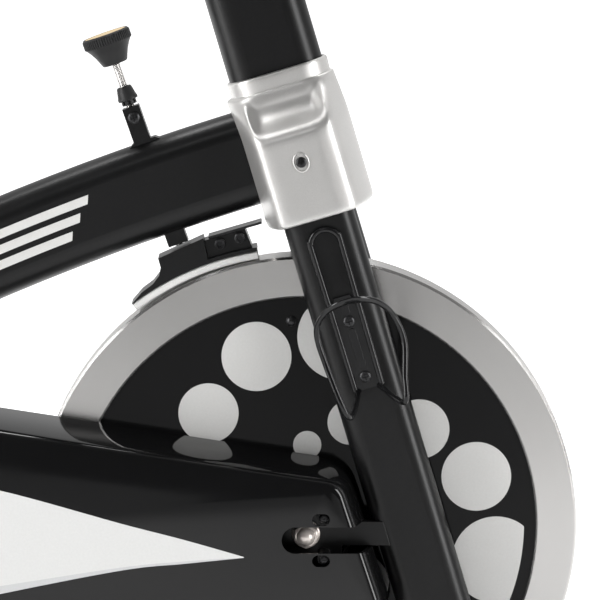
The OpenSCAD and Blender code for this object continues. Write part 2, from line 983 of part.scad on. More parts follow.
// Post with the carriage tube welded across its top
module seat_post() {
    color(steel_black) from_axle() difference() {
        union() {
            difference() {
                seat_frame() oval_tube(leg_l, leg_w, 60, 470);
                translate([-800, -50, carriage_z]) cube([400, 100, 200]);
            }
            carriage_bar(carriage_l, carriage_w, 0);
            translate([carriage_x, carriage_w / 2 - 1, carriage_z]) y_cyl(11, 0, 11);
        }
        carriage_bar(leg_l + 2 * slide_gap, leg_w + 2 * slide_gap, 1);
        seat_frame() post_holes(90, 9, 1);
        translate([carriage_x, 0, carriage_z]) y_cyl(5 + run, 0, 40);
    }
}

stem_r = 11;
eye_r = 12;

// Tube that slides fore and aft, with the saddle stem at its rear end
module seat_slider() {
    color(steel_black) from_axle() difference() {
        union() {
            difference() {
                translate([slider_x, 0, carriage_z])
                    upright_bar(leg_l, leg_w, -slider_len / 2, slider_len / 2);
                translate([slider_x, 0, carriage_z]) upright_bar(leg_l - 2 * wall,
                    leg_w - 2 * wall, -slider_len / 2 + 4, slider_len / 2 - 4);
            }
            translate([stem_x, 0, carriage_z + leg_l / 2 - 3])
                cylinder(r = stem_r, h = eye_z - carriage_z - leg_l / 2 + 3);
            translate([stem_x, 0, eye_z]) y_cyl(eye_r, -12, 12);
        }
        translate([stem_x, 0, eye_z]) y_cyl(5 + run, -40, 40);
    }
}

// Star knob on a threaded stud, on the rider's left of the carriage
module slider_knob() {
    color(rubber_black) from_axle() translate([carriage_x, 0, carriage_z]) {
        y_cyl(5, leg_w / 2 + 1, 34);
        xz_plate(31, 52) {
            circle(r = 16);
            for (a = [0 : 60 : 300]) rotate(a) translate([14, 0]) circle(r = 6);
        }
    }
}

// Pull pin with a round knob, in the tube's own frame
module pull_pin(u) {
    translate([leg_l / 2 + 1, 0, u]) rotate([0, 90, 0]) {
        cylinder(r = pin_r, h = 40);
        translate([0, 0, 27]) rotate_extrude() polygon([
            [0, 0], [9, 0], [12, 3], [13, 14], [18, 18], [18, 28], [15, 31], [0, 31]
        ]);
    }
}

module seat_pin() {
    color(rubber_black) from_axle() seat_frame() pull_pin(seat_pin_u);
}

module saddle_clamp() {
    color(steel_black) from_axle() translate([stem_x, 0, eye_z]) {
        y_cyl(5, -24, 24);
        both_sides() difference() {
            translate([-20, 12.3, -10]) cube([40, 6, 26]);
            y_cyl(5, 0, 40);
        }
        translate([-26, -32, 13]) cube([52, 64, 3]);
    }
}

saddle_x = stem_x + 8;

// Rear width, nose and outline of the saddle in plan
module saddle_plan(inset) {
    hull() {
        for (s = [-1, 1]) translate([saddle_x - 80, s * 58]) circle(r = 55 - inset, $fn = 32);
        translate([saddle_x + 20, 0]) circle(r = 48 - inset, $fn = 32);
    }
    hull() {
        translate([saddle_x + 20, 0]) circle(r = 48 - inset, $fn = 32);
        translate([saddle_x + 108, 0]) circle(r = 27 - inset, $fn = 32);
    }
}

rail_z = eye_z + 16.5;

// Moulded base with the two flat steel rails that rest on the clamp
module saddle_base() {
    color(rubber_black) from_axle() {
        translate([0, 0, saddle_z - 10]) linear_extrude(10) saddle_plan(6);
        both_sides() xz_plate(-25, -19) polygon([
            [saddle_x - 77, saddle_z - 9], [saddle_x - 49, rail_z], [saddle_x + 34, rail_z],
            [saddle_x + 62, saddle_z - 9], [saddle_x + 54, saddle_z - 9],
            [saddle_x + 31, rail_z + 7], [saddle_x - 46, rail_z + 7], [saddle_x - 69, saddle_z - 9]
        ]);
    }
}

module saddle() {
    color(rubber_black) from_axle() {
        translate([0, 0, saddle_z]) linear_extrude(34) saddle_plan(0);
        translate([0, 0, saddle_z + 34]) linear_extrude(12) saddle_plan(8);
        translate([0, 0, saddle_z + 46]) linear_extrude(8) saddle_plan(18);
    }
}

// ---------- handlebar ----------

module bar_frame() {
    head_frame() translate([0, 0, bar_u]) rotate([0, head_lean - bar_rise, 0]) children();
}

module x_cyl(r, x1, x2) {
    translate([x1, 0, 0]) rotate([0, 90, 0]) cylinder(r = r, h = x2 - x1);
}

module handlebar_post() {
    color(steel_black) from_axle() head_frame() difference() {
        union() {
            oval_tube(leg_l, leg_w, 60, post_top);
            translate([-28, -24, post_top]) cube([56, 48, 36]);
        }
        post_holes(100, 7, 1);
        translate([0, 0, bar_u]) y_cyl(bar_r, -30, 30);
    }
}

loop_y = 48;

// Centre lines of the bars, swept with radius r; extra lengthens the open ends
module bar_sweep(r, extra) {
    y_cyl(r, -bar_half + bar_bend, bar_half - bar_bend);
    both_sides() {
        translate([bar_bend, bar_half - bar_bend, 0])
            rotate_extrude(start = 90, angle = 90) translate([bar_bend, 0]) circle(r = r);
        translate([0, bar_half, 0]) x_cyl(r, bar_bend, horn_len + extra);
        translate([0, loop_y, 0]) x_cyl(r, 0, horn_len);
    }
    translate([horn_len, 0, 0]) rotate_extrude(start = -90, angle = 180)
        translate([loop_y, 0]) circle(r = r);
}

module handlebar_bar() {
    color(steel_black) from_axle() bar_frame() difference() {
        bar_sweep(bar_r, 0);
        bar_sweep(bar_r - wall, 1);
    }
}

grip_r = 16;

module grip(x1, x2, closed) {
    difference() {
        x_cyl(grip_r, x1, x2 + closed);
        x_cyl(bar_r, x1 - 1, x2);
    }
}

module handlebar_grips() {
    color(rubber_black) from_axle() bar_frame() both_sides() {
        translate([0, bar_half, 0]) grip(bar_bend + 2, horn_len, 5);
        translate([0, loop_y, 0]) grip(28, horn_len - 2, 0);
        rotate([0, 0, 90]) grip(78, bar_half - bar_bend - 2, 0);
    }
}

module head_pin() {
    color(rubber_black) from_axle() head_frame() pull_pin(head_pin_u);
}

// ---------- floor contact ----------

module roller(side) {
    color(rubber_black) from_axle() translate([roller_x, side * roller_y, roller_z])
        rotate([-90, 0, 0]) rotate_extrude() polygon([
            [4 + run, -roller_w / 2], [roller_r - 5, -roller_w / 2],
            [roller_r, -roller_w / 2 + 5], [roller_r, roller_w / 2 - 5],
            [roller_r - 5, roller_w / 2], [4 + run, roller_w / 2]
        ]);
}

module levelling_foot(x, side) {
    color(rubber_black) from_axle() translate([x, side * foot_y, 0]) {
        cylinder(r1 = 27, r2 = 24, h = 14);
        translate([0, 0, 14]) cylinder(r = 9.5, h = 10, $fn = 6);
        translate([0, 0, 24]) cylinder(r = 5, h = 40);
    }
}

main_tube_front();
main_tube_rear();
head_tube();
fork_leg(-1);  // fork_leg_right
fork_leg(1);  // fork_leg_left
dropouts();
seat_tube();
bottom_bracket();
front_stabilizer();
rear_stabilizer();
stabilizer_caps();
post_sleeves();
head_shroud_right();
head_shroud_left();
belt_cover_outer();
belt_cover_inner();
trim_screws();
bottle_cage();
flywheel_axle();
axle_hardware();
bracket_bearings();
drive_belt();
brake_mounts();
flywheel();
wheel_discs();
disc_screws();
hub_bearings();
flywheel_pulley();
crank_axle();
drive_pulley();
crank_right();
crank_left();
pedal_spindles();
pedal_right();
pedal_left();
toe_cage_right();
toe_cage_left();
brake_collar();
brake_rod();
brake_knob();
brake_carrier();
brake_pad();
leaf_spring();
seat_post();
seat_slider();
slider_knob();
seat_pin();
saddle_clamp();
saddle_base();
saddle();
handlebar_post();
handlebar_bar();
handlebar_grips();
head_pin();
roller(-1);  // transport_wheel_right
roller(1);  // transport_wheel_left
levelling_foot(front_x, -1);  // foot_front_right
levelling_foot(front_x, 1);  // foot_front_left
levelling_foot(rear_x, -1);  // foot_rear_right
levelling_foot(rear_x, 1);  // foot_rear_left
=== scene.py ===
"""Looks of the exercise bike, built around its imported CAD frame.

Shapes are given in millimetres of a local frame and placed with one of the matrices below.
"""

import json
import math

import bmesh
import bpy
from mathutils import Matrix, Vector, noise


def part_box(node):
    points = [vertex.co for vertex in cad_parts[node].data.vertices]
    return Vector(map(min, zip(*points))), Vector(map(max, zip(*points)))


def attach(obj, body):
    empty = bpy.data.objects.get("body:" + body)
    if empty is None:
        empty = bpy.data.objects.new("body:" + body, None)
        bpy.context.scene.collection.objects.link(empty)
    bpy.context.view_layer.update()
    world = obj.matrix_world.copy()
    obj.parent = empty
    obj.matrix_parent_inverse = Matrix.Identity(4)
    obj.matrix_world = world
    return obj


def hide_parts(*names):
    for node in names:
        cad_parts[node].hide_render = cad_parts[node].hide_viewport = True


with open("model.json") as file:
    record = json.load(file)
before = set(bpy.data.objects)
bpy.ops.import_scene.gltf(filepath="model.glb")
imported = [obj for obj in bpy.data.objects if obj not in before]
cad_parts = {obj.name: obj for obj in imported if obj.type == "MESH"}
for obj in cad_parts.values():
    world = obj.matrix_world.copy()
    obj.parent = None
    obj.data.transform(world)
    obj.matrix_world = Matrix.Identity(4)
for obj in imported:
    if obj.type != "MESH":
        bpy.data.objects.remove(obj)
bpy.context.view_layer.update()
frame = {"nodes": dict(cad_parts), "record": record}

nodes = frame["nodes"]
scene = bpy.context.scene


# ---------- places ----------

def move(x, y, z):
    return Matrix.Translation((x, y, z))


def turn(degrees, axis):
    return Matrix.Rotation(math.radians(degrees), 4, axis)


wheel_low, wheel_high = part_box("flywheel")
AXLE = (wheel_low + wheel_high) / 2
WHEEL_R = (wheel_high.x - wheel_low.x) / 2 * 1000
BIKE = Matrix.Translation((AXLE.x, 0, 0)) @ Matrix.Scale(0.001, 4)

# Angles in degrees: head axis, handlebar, main tube at its reference point, brake rod
HEAD_LEAN = 16.6
BAR_RISE = 18
MAIN_SLOPE = 17.7
BRAKE_PHI = 19.1
# Reference points on the head axis and on the main tube's centre line, and the tube's curve
HEAD_X, HEAD_Z = 16, 543.9
MAIN_X, MAIN_Z = -71.5, 600.2
MAIN_R = 2200
# Bottom bracket, axle height, and the cage's place and the bar's clamp along the head axis
BB_X, BB_Z = -460, 305
AXLE_Z = 300
CAGE_U = -117.6
BAR_U = 458
# The brake's swing hinge, and its angle at rest
SWING_X, SWING_Z = -32, 556
SWING = 0.93
# Faces, in distance from the middle of the bike
SHROUD_FACE = 64
COVER_FACE = 88
# Screws of the axle's slot, above and below it
SLOT_SCREW_GAP = 17.3
# Screw of each shroud half, up the head axis
SHROUD_SCREW_U = 69.7

HEAD = BIKE @ move(HEAD_X, 0, HEAD_Z) @ turn(-HEAD_LEAN, "Y")
HEAD_IN_BIKE = BIKE.inverted() @ HEAD
CAGE = HEAD @ move(0, 0, CAGE_U)
BAR = HEAD @ move(0, 0, BAR_U) @ turn(HEAD_LEAN - BAR_RISE, "Y")
MAIN_CX = MAIN_X + MAIN_R * math.sin(math.radians(MAIN_SLOPE))
MAIN_CZ = MAIN_Z - MAIN_R * math.cos(math.radians(MAIN_SLOPE))
ARM = (BIKE @ move(SWING_X, 0, SWING_Z) @ turn(SWING, "Y")
       @ move(-SWING_X, 0, -SWING_Z))
# Local X forward, local Y up, local Z out to the rider's right
TO_RIGHT = turn(90, "X")
TO_LEFT = Matrix.Scale(-1, 4, (0, 1, 0)) @ TO_RIGHT
AT_AXLE = move(0, 0, AXLE_Z)


def on_arc(phi):
    """Frame on the main tube: X forward along it, Z square to it and outwards."""
    return BIKE @ move(MAIN_CX, 0, MAIN_CZ) @ turn(-phi, "Y") @ move(0, 0, MAIN_R)


ROD = on_arc(BRAKE_PHI)


# ---------- mesh helpers ----------

def circle(r, count=48, cx=0, cy=0, start=0, sweep=360):
    """Points around an arc; a full circle leaves out its repeated end."""
    steps = count if sweep == 360 else count - 1
    angles = [math.radians(start + sweep * i / steps) for i in range(count)]
    return [(cx + r * math.cos(a), cy + r * math.sin(a)) for a in angles]


def smooth_path(points, steps=6, closed=False):
    """Catmull-Rom curve through given points."""
    points = [Vector(p) for p in points]
    count = len(points)
    spans = count if closed else count - 1
    route = []
    for i in range(spans):
        if closed:
            a, b, c, d = (points[(i + k) % count] for k in (-1, 0, 1, 2))
        else:
            a, b, c, d = (points[min(max(i + k, 0), count - 1)] for k in (-1, 0, 1, 2))
        for s in range(steps):
            t = s / steps
            route.append(0.5 * (2 * b + (c - a) * t + (2 * a - 5 * b + 4 * c - d) * t * t
                                + (3 * b - 3 * c + d - a) * t ** 3))
    if not closed:
        route.append(points[-1])
    return route


class Shape:
    """Vertices and faces of one piece, in the millimetres of its frame."""

    def __init__(self):
        self.points = []
        self.faces = []

    def add(self, points, faces, at=None):
        first = len(self.points)
        points = [Vector(p) for p in points]
        self.points += [at @ p for p in points] if at else points
        self.faces += [tuple(first + i for i in face) for face in faces]
        return self

    def rings(self, rings, closed=True, caps=True, looped=False, at=None):
        """Joins rings that all have the same number of points."""
        count = len(rings[0])
        faces = []
        for i in range(len(rings) if looped else len(rings) - 1):
            a = i * count
            b = (i + 1) % len(rings) * count
            for k in range(count if closed else count - 1):
                n = (k + 1) % count
                faces.append((a + k, a + n, b + n, b + k))
        if caps and not looped:
            last = (len(rings) - 1) * count
            faces.append(tuple(range(count - 1, -1, -1)))
            faces.append(tuple(last + k for k in range(count)))
        return self.add([p for ring in rings for p in ring], faces, at)

    def lathe(self, profile, at=None, count=48, ring=False, wobble=None):
        """Turns (radius, height) pairs around Z. A ring's profile closes on itself."""
        def spot(r, z, k):
            a = 2 * math.pi * k / count
            r = r + wobble(r, z, k) if wobble and r > 0 else r
            return (r * math.cos(a), r * math.sin(a), z)
        rows = [[spot(r, z, k) for k in range(count)] for r, z in profile]
        return self.rings(rows, caps=False, looped=ring, at=at)

    def tube(self, path, radius, around=12, closed=False, at=None):
        """Bar along a path. Radius is a number or a function of the share along it
        that gives the two half-widths of its section."""
        path = [Vector(p) for p in path]
        count = len(path)
        normal = None
        rows = []
        for i, p in enumerate(path):
            if closed:
                along = path[(i + 1) % count] - path[i - 1]
            else:
                along = path[min(i + 1, count - 1)] - path[max(i - 1, 0)]
            along.normalize()
            if normal is None:
                normal = along.orthogonal().normalized()
                if abs(along.y) < 0.9:
                    normal = (Vector((0, 1, 0)) - along * along.y).normalized()
            normal = (normal - along * normal.dot(along)).normalized()
            side = along.cross(normal)
            a, b = radius(i / (count - 1)) if callable(radius) else (radius, radius)
            rows.append([p + normal * a * math.cos(t) + side * b * math.sin(t)
                         for t in (2 * math.pi * k / around for k in range(around))])
        return self.rings(rows, caps=not closed, looped=closed, at=at)

    def plate(self, outline, low, high, at=None):
        """Flat outline in X and Y, given thickness along Z."""
        return self.rings([[(x, y, z) for x, y in outline] for z in (low, high)], at=at)

    def slab(self, low, high, at=None):
        """Box between two corners."""
        (a, b, c), (d, e, f) = low, high
        return self.plate([(a, b), (d, b), (d, e), (a, e)], c, f, at)


def as_mesh(name, shape, where):
    bm = bmesh.new()
    verts = [bm.verts.new(p) for p in shape.points]
    for face in shape.faces:
        bm.faces.new([verts[i] for i in face])
    bmesh.ops.remove_doubles(bm, verts=bm.verts, dist=0.003)
    bmesh.ops.dissolve_degenerate(bm, edges=bm.edges, dist=0.0005)
    bm.transform(where)
    bmesh.ops.recalc_face_normals(bm, faces=bm.faces)
    mesh = bpy.data.meshes.new(name)
    bm.to_mesh(mesh)
    bm.free()
    return mesh


def add_modifier(obj, kind, **settings):
    modifier = obj.modifiers.new(kind.title(), kind)
    for key, value in settings.items():
        setattr(modifier, key, value)
    return modifier


def bake_modifiers(obj):
    """Applies an object's modifiers, so that its mesh is final."""
    bpy.context.view_layer.update()
    graph = bpy.context.evaluated_depsgraph_get()
    mesh = bpy.data.meshes.new_from_object(obj.evaluated_get(graph), depsgraph=graph)
    obj.modifiers.clear()
    obj.data = mesh


def cut(obj, shape, where):
    """Takes a shape's closed parts out of an object."""
    tool = bpy.data.objects.new("cutter", as_mesh("cutter", shape, where))
    scene.collection.objects.link(tool)
    add_modifier(obj, "BOOLEAN", operation="DIFFERENCE", solver="EXACT", object=tool)
    bake_modifiers(obj)
    bpy.data.objects.remove(tool)


def finish_piece(obj, body, material, sharp=35, replaces=()):
    obj.data.materials.clear()
    obj.data.materials.append(material)
    obj.data.shade_smooth()
    obj.data.set_sharp_from_angle(angle=math.radians(sharp))
    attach(obj, body)
    if replaces:
        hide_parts(*replaces)
    return obj


def piece(name, shape, where, body, material, sharp=35, bevel=0, replaces=()):
    """Makes a finished piece of a shape. Bevel is in millimetres."""
    obj = bpy.data.objects.new(name, as_mesh(name, shape, where))
    scene.collection.objects.link(obj)
    if bevel:
        add_modifier(obj, "BEVEL", width=bevel / 1000, segments=3, limit_method="ANGLE",
                     angle_limit=math.radians(sharp), harden_normals=True)
    return finish_piece(obj, body, material, sharp, replaces)


# ---------- materials ----------

class Paint:
    """Builds one node material around a Principled shader."""

    def __init__(self, name, colour, rough, metal=0.0, **sockets):
        self.material = bpy.data.materials.new(name)
        self.material.use_nodes = True
        self.tree = self.material.node_tree
        self.shader = self.tree.nodes["Principled BSDF"]
        self.colour = colour
        self.rough = rough
        self.set("Base Color", (*colour, 1))
        self.set("Roughness", rough)
        self.set("Metallic", metal)
        for socket, value in sockets.items():
            self.set(socket.replace("_", " "), value)
        self.coords = self.node("ShaderNodeTexCoord").outputs["Object"]
        self.normal = None

    def set(self, socket, value):
        self.shader.inputs[socket].default_value = value

    def node(self, kind, **settings):
        made = self.tree.nodes.new(kind)
        for key, value in settings.items():
            if key in made.inputs:
                made.inputs[key].default_value = value
            else:
                setattr(made, key, value)
        return made

    def link(self, a, b):
        self.tree.links.new(a, b)

    def noise(self, scale, detail=4.0, rough=0.55, stretch=(1, 1, 1)):
        mapping = self.node("ShaderNodeMapping")
        mapping.inputs["Scale"].default_value = stretch
        self.link(self.coords, mapping.inputs["Vector"])
        made = self.node("ShaderNodeTexNoise", Scale=scale, Detail=detail, Roughness=rough)
        self.link(mapping.outputs[0], made.inputs["Vector"])
        return made.outputs["Fac"]

    def remap(self, value, low, high, a=0.3, b=0.7):
        made = self.node("ShaderNodeMapRange")
        made.inputs["From Min"].default_value = a
        made.inputs["From Max"].default_value = b
        made.inputs["To Min"].default_value = low
        made.inputs["To Max"].default_value = high
        self.link(value, made.inputs["Value"])
        return made.outputs["Result"]

    def vary_rough(self, value, spread, a=0.3, b=0.7):
        self.link(self.remap(value, self.rough - spread, self.rough + spread, a, b),
                  self.shader.inputs["Roughness"])
        return self

    def vary_colour(self, value, low, high, a=0.3, b=0.7):
        ramp = self.node("ShaderNodeMix", data_type="RGBA")
        self.link(self.remap(value, 0, 1, a, b), ramp.inputs["Factor"])
        ramp.inputs["A"].default_value = (*low, 1)
        ramp.inputs["B"].default_value = (*high, 1)
        self.link(ramp.outputs["Result"], self.shader.inputs["Base Color"])
        return self

    def bump(self, value, depth_mm, strength=1.0):
        made = self.node("ShaderNodeBump", Strength=strength, Distance=depth_mm / 1000)
        self.link(value, made.inputs["Height"])
        if self.normal:
            self.link(self.normal, made.inputs["Normal"])
        self.normal = made.outputs["Normal"]
        self.link(self.normal, self.shader.inputs["Normal"])
        return self

    def soft_edges(self, radius_mm):
        made = self.node("ShaderNodeBevel", Radius=radius_mm / 1000, samples=6)
        self.normal = made.outputs["Normal"]
        self.link(self.normal, self.shader.inputs["Normal"])
        return self

    def voronoi(self, scale, feature="F1", stretch=(1, 1, 1)):
        mapping = self.node("ShaderNodeMapping")
        mapping.inputs["Scale"].default_value = stretch
        self.link(self.coords, mapping.inputs["Vector"])
        made = self.node("ShaderNodeTexVoronoi", feature=feature, Scale=scale)
        self.link(mapping.outputs[0], made.inputs["Vector"])
        return made.outputs["Distance"]

    def rings_around(self, centre, scale):
        """Fine waves of the distance from the Y axis through a centre."""
        flat = self.node("ShaderNodeVectorMath", operation="MULTIPLY")
        offset = self.node("ShaderNodeVectorMath", operation="SUBTRACT")
        offset.inputs[1].default_value = centre
        flat.inputs[1].default_value = (1, 0, 1)
        length = self.node("ShaderNodeVectorMath", operation="LENGTH")
        self.link(self.coords, offset.inputs[0])
        self.link(offset.outputs[0], flat.inputs[0])
        self.link(flat.outputs[0], length.inputs[0])
        made = self.node("ShaderNodeTexNoise", noise_dimensions="1D", Scale=scale, Detail=3.0)
        made.inputs["W"].default_value = 0
        self.link(length.outputs["Value"], made.inputs["W"])
        return made.outputs["Fac"]


def satin_black_paint():
    paint = Paint("satin_black_paint", (0.0045, 0.0045, 0.0047), 0.34, Coat_Weight=0.04,
                  Coat_Roughness=0.2, Specular_IOR_Level=0.3)
    paint.soft_edges(0.8)
    paint.vary_rough(paint.noise(14), 0.05)
    paint.vary_colour(paint.noise(300, 2), (0.0038, 0.0038, 0.004), (0.0055, 0.0055, 0.0058))
    return paint.bump(paint.noise(1100, 3), 0.03, 0.25).material


def moulded_plastic():
    paint = Paint("moulded_plastic", (0.014, 0.014, 0.0145), 0.48, Specular_IOR_Level=0.35)
    paint.soft_edges(0.7)
    paint.vary_rough(paint.noise(25), 0.07)
    paint.vary_colour(paint.noise(60), (0.011, 0.011, 0.0115), (0.018, 0.018, 0.0185))
    return paint.bump(paint.voronoi(1500), 0.06, 0.4).material


def silver_plastic():
    paint = Paint("silver_plastic", (0.66, 0.65, 0.635), 0.38, 0.8, Coat_Weight=0.1,
                  Coat_Roughness=0.3)
    flakes = paint.noise(2600, 2, 0.8)
    paint.vary_colour(flakes, (0.6, 0.59, 0.575), (0.73, 0.72, 0.705))
    paint.vary_rough(paint.noise(18), 0.04)
    return paint.bump(flakes, 0.02, 0.2).material


def gloss_black(name, smudge, mirror):
    paint = Paint(name, (0.006, 0.006, 0.0062), 0.07, Specular_IOR_Level=mirror)
    paint.vary_rough(paint.noise(9, 6, 0.6), smudge)
    paint.vary_colour(paint.noise(4), (0.005, 0.005, 0.0052), (0.0075, 0.0075, 0.0078))
    return paint.bump(paint.noise(22, 2), 0.12, 0.12).material


def black_oxide():
    paint = Paint("black_oxide", (0.03, 0.03, 0.032), 0.34, 0.7)
    paint.vary_rough(paint.noise(160), 0.08)
    paint.vary_colour(paint.noise(80), (0.02, 0.02, 0.021), (0.05, 0.05, 0.052))
    return paint.bump(paint.noise(900), 0.03, 0.3).material


def coated_wire():
    paint = Paint("coated_wire", (0.006, 0.006, 0.0065), 0.18, Coat_Weight=0.1,
                  Coat_Roughness=0.08, Specular_IOR_Level=0.35)
    paint.vary_rough(paint.noise(60), 0.05)
    paint.vary_colour(paint.noise(90), (0.005, 0.005, 0.0055), (0.009, 0.009, 0.0095))
    return paint.bump(paint.noise(260), 0.08, 0.25).material


def polished_steel():
    paint = Paint("polished_steel", (0.72, 0.7, 0.68), 0.14, 1.0)
    paint.soft_edges(0.4)
    paint.vary_rough(paint.noise(120), 0.05)
    paint.vary_colour(paint.noise(45), (0.66, 0.64, 0.62), (0.78, 0.765, 0.75))
    return paint.bump(paint.noise(1500, 3), 0.01, 0.2).material


def bright_nickel():
    """Plating on the axle's nuts, warm and a little soft."""
    paint = Paint("bright_nickel", (0.8, 0.73, 0.68), 0.22, 0.4, Specular_IOR_Level=0.6)
    paint.soft_edges(0.4)
    paint.vary_rough(paint.noise(120), 0.05)
    paint.vary_colour(paint.noise(60), (0.76, 0.69, 0.64), (0.86, 0.79, 0.74))
    return paint.bump(paint.noise(1200, 3), 0.01, 0.2).material


def turned_steel():
    """Machined flywheel: fine rings around the axle, stretched highlights across them."""
    paint = Paint("turned_steel", (0.57, 0.56, 0.55), 0.24, 1.0, Anisotropic=0.94,
                  Anisotropic_Rotation=0.25)
    tangent = paint.node("ShaderNodeTangent", direction_type="RADIAL", axis="Y")
    paint.link(tangent.outputs[0], paint.shader.inputs["Tangent"])
    paint.soft_edges(0.5)
    rings = paint.rings_around(tuple(AXLE), 2600)
    paint.vary_colour(rings, (0.55, 0.54, 0.53), (0.59, 0.58, 0.57))
    paint.vary_rough(rings, 0.03)
    return paint.bump(rings, 0.01, 0.1).material


def rubber():
    paint = Paint("rubber", (0.016, 0.016, 0.016), 0.68)
    paint.vary_rough(paint.noise(40), 0.08)
    paint.vary_colour(paint.noise(35), (0.012, 0.012, 0.012), (0.024, 0.024, 0.023))
    return paint.bump(paint.noise(1400, 4), 0.08, 0.4).material


def wool_felt():
    paint = Paint("wool_felt", (0.78, 0.775, 0.765), 0.95, Sheen_Weight=0.35,
                  Sheen_Roughness=0.5)
    fibres = paint.noise(900, 8, 0.75, (1, 3, 1))
    paint.vary_colour(fibres, (0.66, 0.655, 0.645), (0.88, 0.875, 0.865))
    return paint.bump(fibres, 0.5, 0.7).bump(paint.noise(160, 5), 0.6, 0.5).material


def saddle_vinyl():
    paint = Paint("saddle_vinyl", (0.016, 0.016, 0.0165), 0.46, Sheen_Weight=0.1)
    grain = paint.voronoi(520, "DISTANCE_TO_EDGE")
    paint.vary_rough(paint.noise(20), 0.06)
    paint.vary_colour(paint.noise(70), (0.013, 0.013, 0.0135), (0.022, 0.022, 0.023))
    return paint.bump(grain, 0.25, 0.35).bump(paint.noise(60), 0.3, 0.2).material


def foam_grip():
    paint = Paint("foam_grip", (0.02, 0.02, 0.02), 0.85)
    pores = paint.voronoi(1300)
    paint.vary_colour(pores, (0.011, 0.011, 0.011), (0.032, 0.032, 0.032), 0.0, 0.7)
    return paint.bump(pores, 0.35, 0.6).material


def print_film(name, colour, rough=0.3):
    """Printed vinyl film, very slightly uneven."""
    paint = Paint(name, colour, rough, Coat_Weight=0.3, Coat_Roughness=0.1)
    paint.vary_rough(paint.noise(30), 0.02)
    dark = tuple(0.96 * c for c in colour)
    paint.vary_colour(paint.noise(500, 2), dark, colour)
    return paint.bump(paint.noise(700, 2), 0.01, 0.15).material


def brass_cap():
    paint = Paint("brass_cap", (0.85, 0.62, 0.3), 0.32, 0.7)
    paint.vary_rough(paint.noise(90), 0.08)
    paint.vary_colour(paint.noise(140), (0.76, 0.54, 0.25), (0.92, 0.7, 0.36))
    return paint.bump(paint.noise(700), 0.02, 0.3).material


def nylon_webbing():
    paint = Paint("nylon_webbing", (0.02, 0.02, 0.021), 0.7, Sheen_Weight=0.2)
    weave = paint.node("ShaderNodeTexWave", wave_type="BANDS", bands_direction="DIAGONAL",
                       Scale=420, Distortion=0.4)
    paint.link(paint.coords, weave.inputs["Vector"])
    paint.vary_colour(weave.outputs["Fac"], (0.012, 0.012, 0.0125), (0.032, 0.032, 0.033), 0, 1)
    return paint.bump(weave.outputs["Fac"], 0.3, 0.6).material


BLACK = satin_black_paint()
PLASTIC = moulded_plastic()
SILVER = silver_plastic()
COVER = gloss_black("gloss_cover_plastic", 0.03, 0.38)
DISC = gloss_black("gloss_disc_plastic", 0.02, 0.16)
SCREW = black_oxide()
WIRE = coated_wire()
STEEL = polished_steel()
TURNED = turned_steel()
NICKEL = bright_nickel()
RUBBER = rubber()
FELT = wool_felt()
VINYL = saddle_vinyl()
FOAM = foam_grip()
WHITE_FILM = print_film("white_film", (0.72, 0.72, 0.71))
GREY_FILM = print_film("grey_film", (0.6, 0.605, 0.61))
SILVER_FILM = print_film("silver_film", (0.68, 0.675, 0.66), 0.35)
BRASS = brass_cap()
THREAD = print_film("grey_thread", (0.16, 0.16, 0.165), 0.7)
WEBBING = nylon_webbing()

SLOT_MATERIALS = {
    "frame_paint": BLACK, "black_plastic": PLASTIC, "silver_shroud": SILVER,
    "gloss_cover": COVER, "screw_black": SCREW, "gloss_wire": WIRE, "axle_steel": STEEL,
    "rim_steel": TURNED, "gloss_disc": DISC, "belt_rubber": RUBBER, "foot_rubber": RUBBER,
    "felt": FELT, "saddle_cover": VINYL, "grip_foam": FOAM,
}


def paint_cad_nodes():
    """Gives every CAD node the finish of its slot in the record."""
    for part in frame["record"]["subparts"]:
        obj = nodes[part["node"]]
        obj.data.materials.clear()
        obj.data.materials.append(SLOT_MATERIALS[part["material_slot"]])
    nodes["leaf_spring"].data.materials[0] = SCREW


# ---------- stage ----------

